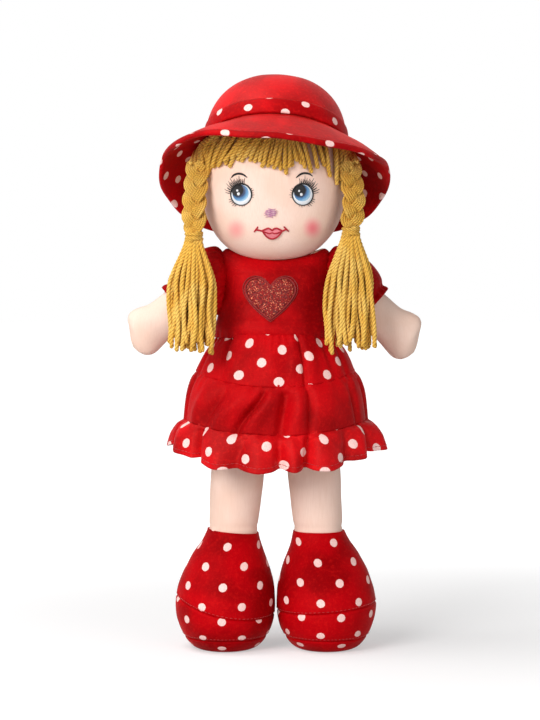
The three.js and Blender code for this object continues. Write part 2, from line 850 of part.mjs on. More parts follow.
// A puffed sleeve that runs from an upright armhole seam to a gathered cuff square to the arm.
function sleeve(name, side) {
  const around = 20;
  const stations = 6;
  const droop = arm_droop[name];
  const seam_out = torsoHalfWidth(arm_seam_height);
  const root = new THREE.Vector3(seam_out, 0, arm_seam_height + sleeve_root_rise);
  const cuff = new THREE.Vector3(
    arm_seam_out + sleeve_length * Math.cos(droop),
    0,
    arm_seam_height - sleeve_length * Math.sin(droop),
  );
  const sectionPoint = (turn, share, inside) => {
    const lean = droop * THREE.MathUtils.smoothstep(share, 0, sleeve_turn_share);
    const puff = sleeve_puff * Math.sin(Math.PI * share);
    const high = mix(sleeve_root_half_height, sleeve_cuff_radius, share) + puff - inside;
    const deep = mix(sleeve_root_half_depth, sleeve_cuff_radius, share) + puff - inside;
    const up = high * Math.cos(turn);
    const centre = root.clone().lerp(cuff, share);
    return new THREE.Vector3(
      side * (centre.x + up * Math.sin(lean)),
      deep * Math.sin(turn),
      centre.z + up * Math.cos(lean),
    );
  };
  const profiles = Array.from({ length: around }, (_, at) => {
    const turn = (at / around) * full_turn * side;
    const line = (inside) =>
      Array.from({ length: stations }, (_, step) => sectionPoint(turn, step / (stations - 1), inside));
    return [...line(0).reverse(), ...line(velour_wall)];
  });
  return ringOf(profiles).subtract(torsoForm(bodice_outside + gap));
}

// Legs and boots

const leg_sides = 12;
const boot_sides = 16;
const hip_seam_wall_share = 3; // the leg's fabric is gathered this much thicker at the hip seam

// From the ankle seam up to the hip seam: height, width and depth as shares.
const leg_shares = [
  [0, 0.9, 0.97],
  [0.25, 0.95, 0.98],
  [0.5, 1, 1],
  [0.73, 1, 0.9],
  [0.87, 0.94, 0.46],
  [1, 0.82, 0],
];

// A leg from the ankle seam up to the flat hip seam, leaning inwards as it rises.
function legForm(grow, extra_down) {
  const tall = hip_height - boot_height;
  const rings = leg_shares.map(([up, wide, deep], at) => {
    const out = mix(leg_ankle_out, leg_top_out, up);
    const centre = new THREE.Vector3(out, 0, boot_height + gap + up * (tall - gap));
    if (at === 0) centre.z -= extra_down;
    if (at === leg_shares.length - 1) centre.z += grow * hip_seam_wall_share;
    const half_depth = Math.max(seam_nose_radius + grow / 2, deep * leg_half_depth + grow);
    return oval(centre, wide * leg_half_width + grow, half_depth, leg_sides);
  });
  if (grow === 0) {
    const seam = rings.at(-1)[0].z;
    for (const [past, thick] of seam_nose_shares) {
      const centre = new THREE.Vector3(leg_top_out, 0, seam + past * seam_nose_radius);
      rings.push(oval(centre, leg_shares.at(-1)[1] * leg_half_width, thick * seam_nose_radius, leg_sides));
    }
  }
  return loft(rings);
}

// From the floor to the ankle: height, width, depth, how far out and how far forward, as shares.
const boot_shares = [
  [0, 0.5, 0.56, 0.985, 1],
  [0.03, 0.64, 0.7, 0.985, 1],
  [0.09, 0.8, 0.84, 0.985, 1],
  [0.2, 0.93, 0.96, 0.995, 1],
  [0.37, 1, 1, 1, 0.92],
  [0.5, 0.95, 0.93, 0.98, 0.76],
  [0.64, 0.84, 0.78, 0.95, 0.55],
  [0.82, 0.675, 0.58, 0.92, 0.25],
  [0.93, 0.56, 0.48, 0.875, 0.08],
  [1, 0.515, 0.45, 0.855, 0],
];

function bootForm(grow, extra_up) {
  const last = boot_shares.length - 1;
  const rings = boot_shares.map(([up, wide, deep, out, forward], at) => {
    const centre = new THREE.Vector3(out * boot_out, -forward * boot_forward, up * boot_height);
    if (at === 0) centre.z -= grow;
    if (at === last) centre.z += extra_up;
    return oval(centre, wide * boot_half_width + grow, deep * boot_half_depth + grow, boot_sides);
  });
  return loft(rings);
}

// Everything above a boot seam. The seam's plane tips about the line through the boot's middle.
function aboveSeam(height, tilt) {
  const reach = 3 * boot_half_depth;
  return block(new THREE.Vector3(-reach, -reach, 0), new THREE.Vector3(reach, reach, reach)).transform(
    new THREE.Matrix4()
      .makeTranslation(boot_out, 0, height)
      .multiply(new THREE.Matrix4().makeRotationY(-tilt)).elements,
  );
}

function leg(name, side) {
  const group = new THREE.Group();
  group.scale.x = side;
  const boot = bootForm(0, 0).subtract(bootForm(-velour_wall, cut_overrun));
  const above_toe_seam = aboveSeam(toe_seam_height + gap / 2, toe_seam_tilt);
  const below_toe_seam = aboveSeam(toe_seam_height - gap / 2, toe_seam_tilt);
  const above_sole = aboveSeam(sole_height + gap / 2, 0);
  const at_sole = aboveSeam(sole_height - gap / 2, 0);
  const inside = -skin_wall - gap;
  const filling = bootForm(-velour_wall - gap, cut_overrun).subtract(aboveSeam(boot_height, 0));
  group.add(
    piece(
      `${name}_leg_skin`,
      legForm(0, 0).subtract(legForm(-skin_wall, cut_overrun)),
      skin_cloth,
    ),
    piece(`${name}_boot_upper`, boot.intersect(above_toe_seam), dotted_velour),
    piece(`${name}_boot_toe_band`, boot.subtract(below_toe_seam).intersect(above_sole), dotted_velour),
    piece(`${name}_boot_sole`, boot.subtract(at_sole), dotted_velour),
    piece(`${name}_leg_filling`, filling.add(legForm(inside, cut_overrun)), filling_fibre),
  );
  return group;
}

// The doll

function plait(name, side) {
  const group = new THREE.Group();
  group.scale.x = side;
  group.add(
    piece(`${name}_braid`, braid(), yarn),
    piece(`${name}_braid_tie`, tie(), yarn),
    piece(`${name}_tassel`, tassel(), yarn),
  );
  return group;
}

const doll = new THREE.Group();
doll.position.y = figure_set_back;
doll.add(
  ...headPieces(),
  ...facePieces(),
  piece('fringe', fringe(), yarn),
  piece('back_hair', backHair(), yarn),
  hatPieces(),
  piece('neck', ball(neck_centre, neck_radius), skin_cloth),
  ...torsoPieces(),
  piece('bodice', bodice(), red_velour),
  piece('heart_patch', heart(), glitter_cloth),
  ...skirtPieces(),
);
for (const [name, side] of [['left', 1], ['right', -1]]) {
  doll.add(
    plait(name, side),
    piece(`${name}_sleeve`, sleeve(name, side), red_velour),
    arm(name, side),
    leg(name, side),
  );
}

export default doll;
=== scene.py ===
import math
import random
from itertools import product

import bmesh
import bpy
from bpy.props import FloatProperty, FloatVectorProperty, IntProperty, PointerProperty
from mathutils import Matrix, Vector, noise


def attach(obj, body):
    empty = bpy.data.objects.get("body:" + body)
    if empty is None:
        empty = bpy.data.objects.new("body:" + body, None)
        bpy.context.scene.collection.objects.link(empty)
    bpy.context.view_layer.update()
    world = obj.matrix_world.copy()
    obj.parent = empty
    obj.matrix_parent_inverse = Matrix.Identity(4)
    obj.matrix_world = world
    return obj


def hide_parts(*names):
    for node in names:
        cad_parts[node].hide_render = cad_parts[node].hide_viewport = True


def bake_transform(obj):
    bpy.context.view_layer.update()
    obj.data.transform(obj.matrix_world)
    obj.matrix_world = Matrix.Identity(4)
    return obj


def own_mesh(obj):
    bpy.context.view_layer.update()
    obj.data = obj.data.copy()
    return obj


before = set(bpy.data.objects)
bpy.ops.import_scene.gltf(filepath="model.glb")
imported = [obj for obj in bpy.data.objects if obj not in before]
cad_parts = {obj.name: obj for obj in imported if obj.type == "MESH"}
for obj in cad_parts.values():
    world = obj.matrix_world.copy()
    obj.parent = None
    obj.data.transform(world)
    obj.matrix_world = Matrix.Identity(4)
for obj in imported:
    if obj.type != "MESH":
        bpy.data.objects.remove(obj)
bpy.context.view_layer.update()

bl_info = {
    "name": "Rag doll",
    "version": (1, 0, 0),
    "blender": (4, 5, 0),
    "location": "3D View > Sidebar > Rag doll",
    "description": "Sews the cloth, yarn and thread of a rag doll over its frame",
    "category": "Object",
}

# Shapes are worked out in millimetres, with the middle of the body at x = y = 0, and the front at -Y.
MM = 0.001
SET_BACK = 7.5  # from the middle of the doll's box back to the middle of the body
FULL_TURN = 2 * math.pi
SIDES = (("left", 1), ("right", -1))

HEAD_CENTRE = 323.5
HEAD_HALF_WIDTH = 50
HEAD_HALF_DEPTH = 44
HEAD_CHIN_DROP = 53
HEAD_CROWN_RISE = 71.5
HEAD_ASIDE = -1.5  # the head sits a little to the doll's right
CHIN_FORWARD = 6
JAW_POWER = 2.3  # above 2 the cheeks are fuller than an oval's
FACE_POWER = 2.2  # above 2 the face is flatter than an egg

HAT_SEAT = Vector((0, 4, 351))
HAT_TURN = Matrix.Rotation(math.radians(-25), 3, "X") @ Matrix.Rotation(math.radians(2), 3, "Y")
CROWN_RADIUS = 50
BAND_WIDTH = 12
BRIM_WIDTH = 40
BRIM_DROOPS = {"front": math.radians(44), "side": math.radians(39), "back": math.radians(56)}
BRIM_WAVES = 5
HAT_ROUND = 314  # the cloth along the crown's seam
BRIM_ROUND = 440  # the brim's cloth, as its dots are printed
LINING_ROLL = 0.84  # how far along the lining it starts to roll round the brim's edge
# How far the brim's edge is pulled up or down, by the turn from the front in degrees.
BRIM_PULLS = (
    (-180, 0), (-120, -7), (-105, -2.3), (-90, 0.5), (-75, 6), (-60, 6.5), (-30, 3.4), (-10, -1.0),
    (0, -3.0), (10, -4.6), (30, -3.2), (60, 3), (75, 4.7), (90, 1.6), (105, 1), (120, -3), (180, 0),
)

NECK_RADIUS = 10.8
NECK_HEIGHTS = (268.4, 289.6)

WAIST_HEIGHT = 217.6
TORSO_BOTTOM = 178.1
SHOULDER_HEIGHT = 272.6
TORSO_HALF_WIDTH = 43
TORSO_HALF_DEPTH = 27.5
BODICE_ROOM = 1.7  # between the torso and the bodice's outside
# Height, half width and half depth, as shares of the torso's.
TORSO_SHARES = (
    (-0.014, 0, 0), (0, 0.86, 0.03), (0.08, 0.94, 0.3), (0.19, 1, 0.68), (0.3, 1, 0.96), (0.42, 0.965, 1),
    (0.65, 0.9, 0.95), (0.81, 0.89, 0.9), (0.9, 0.89, 0.82), (0.955, 0.865, 0.72), (0.995, 0.78, 0.62),
    (1.02, 0.62, 0.54), (1.03, 0.46, 0.46), (1.035, 0, 0),
)

# Shapes of a face that is embroidered in thread: across and up from the middle of the body, in mm.
EYES = {"right": (-23.7, 316.4), "left": (18.2, 316.4)}
EYE_HALF = (7.0, 7.2)
EYE_RIM = (7.1, 7.3)
IRIS_SHIFT = (-0.3, 0.8)
IRIS_HALF = (6.0, 6.0)
PUPIL_SHIFT = (-1.9, 2.5)
PUPIL_HALF = (4.5, 4.5)
GLINTS = {
    "right": ((-2.3, 2.8, 0.8), (-1.5, 0.5, 1.05)),
    "left": ((-2.7, 2.5, 0.75), (-1.2, 0.1, 1.0)),
}
# Lashes: from and to which turn above the outer side, how many, how long, and how thick.
LASH_ROWS = (
    (2, 112, 12, 6.0, 0.25),
    (10, 104, 11, 3.9, 0.3),
    (-66, -18, 5, 2.9, 0.23),
    (148, 200, 5, 2.3, 0.23),
    (-112, -76, 3, 1.6, 0.16),
)
BROWS = {
    "right": ((-30.6, 327.9), (-28.6, 329.8), (-25.6, 330.7), (-22.4, 330.0), (-19.7, 328.0)),
    "left": ((13.7, 327.8), (15.8, 329.6), (18.6, 330.9), (22.2, 330.6), (25.0, 329.0)),
}
NOSE = (-3.6, 303.9)
NOSE_HALF = (4.2, 2.9)
LIPS = (
    (-9.0, 291.6), (-7.4, 292.7), (-5.6, 293.4), (-4.1, 293.1), (-2.6, 292.1), (-1.3, 293.1), (0.3, 293.5),
    (2.0, 292.9), (4.0, 291.6), (2.6, 289.3), (0.4, 287.3), (-2.5, 286.3), (-5.4, 287.1), (-7.6, 289.2),
)
LIPS_MIDDLE = Vector((-0.95, 0, 289.1))
LIP_LINE = (
    (-8.8, 291.5), (-6.4, 290.6), (-4.2, 290.1), (-2.6, 290.6), (-0.9, 290.1), (1.4, 290.5), (3.8, 291.5),
)
SMILE = {
    "right": ((-9.0, 291.5), (-11.0, 292.0), (-13.4, 292.4)),
    "left": ((3.9, 291.5), (5.6, 292.2), (7.3, 292.9)),
}
SMILE_TICKS = {
    "right": ((-15.0, 291.0), (-13.6, 292.5), (-12.4, 294.6)),
    "left": ((5.3, 294.7), (7.0, 293.0), (8.7, 291.3)),
}
PATCH_RIM = 0.9  # from here out, a patch of stitches slopes down to the cloth
# Each cheek's blush: across, up, and how strong.
BLUSHES = ((-27.4, 292.4, 0.55), (25.2, 293.4, 0.85))

# Where the strands of the fringe end: across, up, and how far across they come out of the hat.
FRINGE_TIPS = (
    (-48, 327.5, -38), (-44, 331.5, -31), (-40, 335.5, -23), (-31, 337, -12), (-24, 339.5, -6),
    (-18, 338.5, -2.5), (-12.3, 338.5, 0.5), (-6.5, 336, 2), (0.5, 333.5, 4), (7.4, 332.5, 6),
    (12, 338, 8), (16.7, 338.5, 10), (23.7, 333, 14), (29.5, 336, 19), (32, 336, 24), (34.1, 331, 28),
    (37.6, 327, 32.5), (42.2, 323.5, 37.5), (48, 321, 43),
)
# A strand of the fringe: how far along it, and how far off the head in the lower and the upper layer.
FRINGE_LIFTS = ((0, 1.2, 1.8), (0.22, 1.9, 3.4), (0.45, 1.9, 4.4), (0.75, 1.8, 4.2), (1, 1.7, 3.4))
BRAID_LINES = {
    "right": ((-53.6, -22.5, 338.5), (-55.0, -27, 325), (-56.4, -31, 308), (-56.4, -34, 288)),
    "left": ((50.8, -22, 339.5), (52.4, -26.5, 326), (53.7, -31, 311), (51.6, -34, 291.5)),
}
TASSEL_FEET = {"right": (-57.6, -46.5, 212.5), "left": (50.6, -45, 212.5)}
TASSEL_HALF = (17.4, 8.0)
TASSEL_SHARES = (0, 0.05, 0.12, 0.22, 0.34, 0.46, 0.58, 0.7, 0.82, 0.92, 1)
GOLDEN_TURN = 2.39996  # from one strand to the next, this spreads them evenly
BRAID_STEPS = 64
LOCKS = 3
LOCK_SWINGS = {"right": 5.0, "left": 4.4}  # how far a lock swings aside
# Yarn: its plies and how far each stands out, and how far the next strand is turned beside the last one.
PLIES = 3
LOBE_DEPTH = 0.13
NEXT_TILT = 1.3
END_LENGTH = 1.8  # of a strand's rounded tip
# The tip's form: how far along it, and how thick.
ROUND_END = ((0.3, 0.95), (0.58, 0.81), (0.82, 0.57), (0.98, 0.22))
SEWN_WITHIN = 0.002  # a skin's edges that are nearer than this are one
SPUN_WITHIN = 0.004  # and a strand's

# The arm's outline at stations from the shoulder to the fingertips: along, the upper edge's place, the
# lower edge's place, and half the depth.
ARM_STATIONS = (
    (0, 43.0, 259.5, 42.6, 254.5, 2.2), (0.06, 45.6, 261.4, 44.2, 248.5, 5.0),
    (0.16, 51.6, 263.0, 47.0, 241.5, 8.8), (0.3, 61.0, 259.5, 52.0, 233.0, 11.0),
    (0.42, 71.0, 251.8, 60.0, 226.5, 11.3), (0.53, 79.5, 244.3, 66.5, 219.8, 11.6),
    (0.64, 88.5, 236.9, 72.5, 213.5, 11.9), (0.74, 96.3, 233.7, 77.5, 207.6, 12.0),
    (0.81, 100.9, 230.5, 81.0, 203.8, 11.8), (0.87, 102.3, 226.3, 84.4, 201.8, 11.0),
    (0.925, 100.9, 219.5, 87.9, 201.3, 9.2), (0.965, 99.6, 212.8, 91.6, 202.3, 6.4),
    (0.99, 98.2, 208.4, 95.0, 204.4, 2.8), (1, 97.2, 206.3, 96.8, 205.9, 0),
)
ARM_SEAM = (40.6, 257)
RIGHT_ARM_RISE = math.radians(3.5)
SLEEVE_LINE = ((34.0, 0, 260), (45, 0, 258.6), (57.5, 0, 250), (67.6, 0, 238.6))
UNDER_CHEEK = {"right": 2.6, "left": 0.0}  # how far the cheek presses the sleeve's root down

# The boot at heights above the floor: half width, half depth, how far out, and how far forward.
BOOT_ROWS = (
    (0, 0, 0, 35.2, 13), (0.0, 14, 18, 35.2, 13), (0.5, 20.5, 26, 35.2, 13), (3, 24.6, 29.8, 35.2, 13),
    (8, 28.6, 33.8, 35.2, 13), (15, 32.2, 37.4, 35.2, 13), (24, 34.4, 39, 35.3, 12.3),
    (31, 34.9, 38.9, 35.4, 11.6), (40, 34.2, 36.9, 35.0, 9.9), (52, 31.0, 31.4, 34.2, 7.0),
    (64, 25.6, 24.8, 33.2, 3.6), (74, 20.4, 19.8, 31.4, 1.1), (81, 18.0, 17.8, 30.2, 0),
)
TOE_SEAMS = {"right": (25.2, 0.19, 0.0042), "left": (28.6, 0.085, 0.0006)}
SOLE_SEAM = 9.0
BOOT_TOP = 80.6
ANKLE_TILTS = {"right": 1.6, "left": 0.0}
BOOT_EDGE = 0.04  # the share of a piece that is turned in at each seam
BOOT_ALLOWANCE = 4.0  # how deep it is turned in

# The leg at heights: half width, half depth, how far out.
LEG_ROWS = (
    (72, 15.2, 15.2, 30.6), (80, 16.9, 16.9, 30.0), (86, 17.2, 17.2, 29.6), (100, 17.9, 17.3, 28.6),
    (120, 18.6, 17.4, 27.0), (140, 18.7, 17.2, 25.6), (152, 18.4, 15.6, 24.8), (162, 17.2, 9.6, 24.0),
    (170, 15.4, 4.4, 23.4), (175.5, 11.6, 1.5, 23.0), (177.2, 8.0, 0, 23.0),
)

# The skirt's tiers: the height in front, how much the sides lie higher, half width and half depth.
WAIST_EDGE = (218.0, 0.0, 40.0, 30.4)
TIER_EDGE = (184.0, 9.0, 56.0, 45.0)
RUFFLE_EDGE = (151.5, 8.0, 65.0, 53.0)
HEM_EDGE = (127.6, 5.5, 73.0, 60.0)
# How deep each tier's folds are, beside the table's numbers, and the tier whose edge each is gathered to.
FOLD_SCALES = {"skirt_upper_tier": 1.0, "skirt_middle_tier": 1.25, "skirt_ruffle": 1.3}
TIER_ABOVE = {"skirt_middle_tier": "skirt_upper_tier", "skirt_ruffle": "skirt_middle_tier"}
# Each tier: its edges, how far its upper edge is tucked in, how far it bulges, its finish, its slot, its
# cut width, and its rows of faces.
TIERS = (
    ("skirt_upper_tier", WAIST_EDGE, TIER_EDGE, 0.5, 2.4, "upper_tier_velour", "dotted_velour", 250, 30),
    ("skirt_middle_tier", TIER_EDGE, RUFFLE_EDGE, -0.6, 3.0, "middle_tier_velour", "red_velour", 330, 30),
    ("skirt_ruffle", RUFFLE_EDGE, HEM_EDGE, -0.6, 1.0, "ruffle_velour", "dotted_velour", 400, 26),
)
SKIRT_THICKNESS = 1.2
FLAP = 3.0  # how far each half of the skirt runs on under the other
# Folds: where each is at the upper edge and at the lower edge, turned from the front; its half width
# there; and how deep it is at the upper edge, in the middle and at the lower edge. Ridges are negative.
FOLDS = {
    "skirt_upper_tier": (
        (0.40, 0.38, 0.03, 2.4, 3.2, 2.2), (0.52, 0.50, 0.09, -1.0, -1.8, -0.8),
        (0.28, 0.24, 0.08, -0.4, -1.4, -0.6), (-0.86, -0.74, 0.05, 3.4, 1.6, 0.5),
        (-0.66, -0.55, 0.1, -0.9, -1.6, -0.4), (-0.3, -0.24, 0.12, 0.6, 0.9, 0.2),
        (-0.06, -0.04, 0.12, -0.3, -1.0, -0.3), (0.82, 0.84, 0.06, 1.0, 1.2, 0.4),
        (1.15, 1.1, 0.07, 1.8, 1.6, 1.0), (1.75, 1.7, 0.06, 1.6, 2.0, 1.2),
        (2.25, 2.3, 0.07, 1.8, 1.6, 1.0), (2.8, 2.75, 0.08, 1.4, 2.0, 1.1),
        (-1.35, -1.3, 0.06, 1.6, 1.8, 1.0), (-1.9, -1.85, 0.07, 1.8, 1.6, 1.0),
        (-2.5, -2.45, 0.08, 1.4, 2.1, 1.2),
    ),
    "skirt_middle_tier": (
        (-0.13, -0.44, 0.05, 3.0, 5.6, 3.2), (-0.04, -0.26, 0.09, -2.2, -3.4, -1.6),
        (0.13, 0.05, 0.07, 3.0, 6.0, 3.6), (0.27, 0.24, 0.08, -1.4, -2.8, -1.6),
        (0.41, 0.38, 0.045, 2.2, 3.6, 2.0), (0.62, 0.58, 0.16, -0.6, -1.6, -0.8),
        (-0.36, -0.66, 0.1, -0.4, -2.4, -1.6), (-0.62, -0.86, 0.06, 0.8, 2.6, 1.4),
        (-0.86, -1.05, 0.1, -0.6, -2.2, -1.6), (1.02, 1.06, 0.05, 0.6, 2.4, 1.4),
        (1.36, 1.4, 0.06, 1.6, 3.2, 2.0), (1.8, 1.85, 0.08, 2.0, 2.8, 1.8),
        (2.3, 2.2, 0.07, 1.6, 3.2, 2.0), (2.75, 2.8, 0.08, 1.8, 3.2, 2.2),
        (-1.34, -1.38, 0.06, 1.8, 3.2, 2.0), (-1.8, -1.7, 0.08, 1.4, 2.8, 2.0),
        (-2.25, -2.3, 0.07, 2.0, 3.2, 2.0), (-2.75, -2.7, 0.08, 1.6, 3.0, 2.2),
    ),
    "skirt_ruffle": (
        (-0.9, -0.86, 0.05, 3.6, 6.0, 5.4), (-0.66, -0.58, 0.14, -0.8, -3.2, -4.2),
        (-0.34, -0.4, 0.07, 0.8, 2.6, 3.4), (-0.16, -0.16, 0.12, -0.8, -2.6, -3.6),
        (0.03, 0.04, 0.05, 2.0, 4.4, 5.0), (0.17, 0.17, 0.06, -0.6, -2.6, -3.2),
        (0.35, 0.3, 0.045, 4.0, 6.4, 5.6), (0.5, 0.5, 0.13, -1.0, -3.2, -4.4),
        (0.78, 0.76, 0.06, 0.6, 2.4, 3.4), (1.0, 0.96, 0.08, -0.4, -1.4, -2.4),
        (1.14, 1.1, 0.045, 2.2, 4.0, 4.4), (1.36, 1.36, 0.12, -1.2, -4.0, -5.2),
        (1.66, 1.62, 0.07, 2.0, 4.6, 5.0), (1.98, 2.0, 0.12, -0.6, -2.4, -3.6),
        (2.2, 2.24, 0.07, 1.8, 4.4, 5.0), (2.48, 2.46, 0.12, -0.6, -2.4, -3.6),
        (2.7, 2.66, 0.07, 2.0, 4.6, 5.2), (2.98, 2.95, 0.1, -0.4, -2.2, -3.2),
        (-1.18, -1.2, 0.12, -1.0, -2.6, -2.6), (-1.44, -1.46, 0.06, 1.8, 4.4, 5.0),
        (-1.7, -1.72, 0.12, -0.8, -3.0, -4.0), (-1.98, -1.98, 0.07, 1.8, 4.2, 5.0),
        (-2.28, -2.3, 0.13, -0.6, -2.4, -3.6), (-2.58, -2.56, 0.07, 2.0, 4.6, 5.2),
        (-2.86, -2.9, 0.1, -0.6, -2.4, -3.4),
    ),
}

# Dotted cloth: two steps from one dot to the next, across and up.
DOT_STEPS = ((11.5, -13.0), (14.2, 8.7))
BOOT_DOT_STEPS = ((15.0, -11.8), (15.0, 11.8))
BOOT_DOT_HALF = (3.05, 2.45)
# Each velour: how light its copy of the same red is, as painted light above 1 and painted shade below 1,
# and how much it shines. Where dotted: the place of one dot on the flat cloth, its half width and half
# height, and the steps.
VELOURS = {
    "hat_velour": (1.14, 0.3),
    "dress_velour": (0.82, 0.1),
    "upper_tier_velour": (0.9, 0.1, (-9.7, 201.0), (3.2, 3.2), DOT_STEPS),
    "middle_tier_velour": (0.88, 0.12),
    "ruffle_velour": (1.1, 0.2, (-6.3, 144.8), (3.2, 3.2), DOT_STEPS),
    "right_boot_velour": (0.84, 0.05, (-2.1, 46.4), BOOT_DOT_HALF, BOOT_DOT_STEPS),
    "left_boot_velour": (0.84, 0.05, (-4.8, 37.1), BOOT_DOT_HALF, BOOT_DOT_STEPS),
    "band_velour": (1.0, 0.1, (-5.2, 13.4), (3.0, 2.6), DOT_STEPS),
    "lining_velour": (0.85, 0.1, (-5.2, 41), (3.0, 2.7), DOT_STEPS),
}
# Each thread: the name of its colour, from one stitch to the next in mm, the direction across them, and
# how much painted shade darkens it between them.
THREADS = {
    "eye_thread": ("thread_white", 0.5, (1, 0, 0.2), 0.08),
    "lash_thread": ("thread_black", 0.5, (1, 0, 0.4), 0.3),
    "nose_thread": ("thread_nose", 0.9, (0.35, 0, 1), 0.2),
    "nose_line_thread": ("thread_nose_line", 0.55, (1, 0, 0.25), 0.3),
    "lip_thread": ("thread_lip", 0.6, (1, 0, 0.3), 0.25),
    "mouth_thread": ("thread_wine", 0.7, (1, 0, 0.5), 0.3),
    "heart_thread": ("thread_heart", 0.8, (1, 0, 0.6), 0.3),
    "seam_thread": ("thread_seam", 0.5, (1, 0, 1), 0.15),
    "hem_thread": ("thread_hem", 0.5, (1, 0, 1), 0.15),
}

# The heart's outline, from the foot round the doll's right side, across and up from the foot.
HEART = (
    (0, 0), (-6.2, 4.9), (-11.8, 10.4), (-16.1, 16.6), (-16.9, 21.6), (-14.4, 26.2), (-9.6, 28.2),
    (-4.6, 26.9), (-1.4, 24.0), (0, 22.2),
)
HEART_FOOT = (-3.9, 230.6)
HEART_MIDDLE = 15.5  # above its foot

# The camera, in metres: how far away it is, how much height it sees there, and what it is aimed at.
CAMERA_DISTANCE = 1.75
SEEN_HEIGHT = 0.5009
CAMERA_AIM = Vector((-0.0041, -0.012, 0.2018))


# Small tools


def smooth(share):
    """From 0 to 1 with a soft start and a soft end."""
    share = min(1.0, max(0.0, share))
    return share * share * (3 - 2 * share)


def mix(low, high, share):
    return low + (high - low) * share


def bump_of(distance, width):
    """A soft hill of height 1."""
    return math.exp(-((distance / width) ** 2))


def past(share, start):
    """How far a share is past a place near the end: 0 up to there, and 1 at the end."""
    return max(0.0, share - start) / (1 - start)


def rough(*place):
    """Smooth unevenness, between -1 and 1."""
    return noise.noise(Vector(place))


def turn_at(u):
    """The turn from the front, for a share of the way round from the back."""
    return u * FULL_TURN - math.pi


def turns_round(count):
    """Even turns from the back, round the front and to the back again."""
    return [turn_at(k / count) for k in range(count + 1)]


def ring(wide, deep, turn, height):
    """A place on a level oval, turned from its front."""
    return Vector((wide * math.sin(turn), -deep * math.cos(turn), height))


def read_rows(rows, at):
    """The row of a table at a place along it, on a smooth curve that doesn't overshoot."""
    at = min(rows[-1][0], max(rows[0][0], at))
    k = 0
    while k < len(rows) - 2 and rows[k + 1][0] < at:
        k += 1
    low, high = rows[k], rows[k + 1]
    step = max(high[0] - low[0], 1e-9)
    share = (at - low[0]) / step

    def slope(index, column):
        if index == 0 or index == len(rows) - 1:
            return None
        before = rows[index][0] - rows[index - 1][0]
        after = rows[index + 1][0] - rows[index][0]
        if before < 1e-9 or after < 1e-9:
            return None
        rise_before = (rows[index][column] - rows[index - 1][column]) / before
        rise_after = (rows[index + 1][column] - rows[index][column]) / after
        if rise_before * rise_after <= 0:
            return 0.0
        return 2 * rise_before * rise_after / (rise_before + rise_after)

    found = []
    for column in range(1, len(low)):
        chord = (high[column] - low[column]) / step
        first, last = slope(k, column), slope(k + 1, column)
        first = chord if first is None else first
        last = chord if last is None else last
        s2, s3 = share * share, share**3
        found.append(
            (2 * s3 - 3 * s2 + 1) * low[column]
            + (s3 - 2 * s2 + share) * step * first
            + (3 * s2 - 2 * s3) * high[column]
            + (s3 - s2) * step * last
        )
    return found


def curve_through(points, count, closed=False):
    """Points spread evenly along a smooth curve through the given ones."""
    points = [Vector(p) for p in points]
    last = len(points) if closed else len(points) - 1
    parts = 12
    dense = []
    for k in range(last):
        if closed:
            a, b, c, d = (points[(k + step) % len(points)] for step in (-1, 0, 1, 2))
        else:
            b, c = points[k], points[k + 1]
            a = points[k - 1] if k else b * 2 - c
            d = points[k + 2] if k + 2 < len(points) else c * 2 - b
        for step in range(parts):
            t = step / parts
            where = b * 2 + (c - a) * t + (a * 2 - b * 5 + c * 4 - d) * t * t
            dense.append((where + (b * 3 - a - c * 3 + d) * t**3) / 2)
    dense.append(points[0].copy() if closed else points[-1].copy())
    reach = [0.0]
    for one, next_one in zip(dense, dense[1:]):
        reach.append(reach[-1] + (next_one - one).length)
    spread, k = [], 0
    steps = count if closed else count - 1
    for step in range(count):
        target = reach[-1] * step / steps
        while k < len(reach) - 2 and reach[k + 1] < target:
            k += 1
        span = max(reach[k + 1] - reach[k], 1e-9)
        spread.append(dense[k].lerp(dense[k + 1], (target - reach[k]) / span))
    return spread


def along_line(line, share):
    """The place at a share of the way along a line of evenly spread points."""
    steps = len(line) - 1
    at = min(1.0, max(0.0, share)) * steps
    low = min(steps - 1, int(at))
    return line[low].lerp(line[low + 1], at - low)


def in_frame(point):
    """From millimetres round the doll's body to the frame's metres."""
    return Vector((point[0] * MM, (point[1] + SET_BACK) * MM, point[2] * MM))


def linear(colour):
    """A colour written as it looks on a screen, in the light's own terms."""
    return [c / 12.92 if c <= 0.04045 else ((c + 0.055) / 1.055) ** 2.4 for c in colour[:3]] + [1.0]


def scaled(colour, share):
    """A colour made lighter or darker."""
    return [c * share for c in colour[:3]] + [1]


# Making pieces


def link(name, mesh, finish):
    """Puts a mesh in the scene, shaded smooth and in its finish."""
    made = bpy.data.objects.new(name, mesh)
    bpy.context.scene.collection.objects.link(made)
    mesh.shade_smooth()
    mesh.materials.append(material(finish))
    return made


def surface(name, finish, steps, point, cloth=None, flip=False, closed=False):
    """One skin of cloth: a grid bent so that point(u, v) gives its place, with touching edges sewn up.
    cloth(u, v) gives the place on the flat cloth. Both are in millimetres."""
    bm = bmesh.new()
    uv = bm.loops.layers.uv.new("cloth")
    bmesh.ops.create_grid(bm, x_segments=steps[0], y_segments=steps[1], size=0.5)
    shares = {vert: (vert.co.x + 0.5, vert.co.y + 0.5) for vert in bm.verts}
    for face in bm.faces:
        for loop in face.loops:
            u, v = shares[loop.vert]
            across, along = cloth(u, v) if cloth else (u * 100, v * 100)
            loop[uv].uv = (across * MM, along * MM)
    for vert, (u, v) in shares.items():
        vert.co = in_frame(point(u, v))
    bmesh.ops.remove_doubles(bm, verts=bm.verts, dist=SEWN_WITHIN * MM)
    if closed:
        bmesh.ops.recalc_face_normals(bm, faces=bm.faces)
    elif flip:
        bmesh.ops.reverse_faces(bm, faces=bm.faces)
    mesh = bpy.data.meshes.new(name)
    bm.to_mesh(mesh)
    bm.free()
    return link(name, mesh, finish)


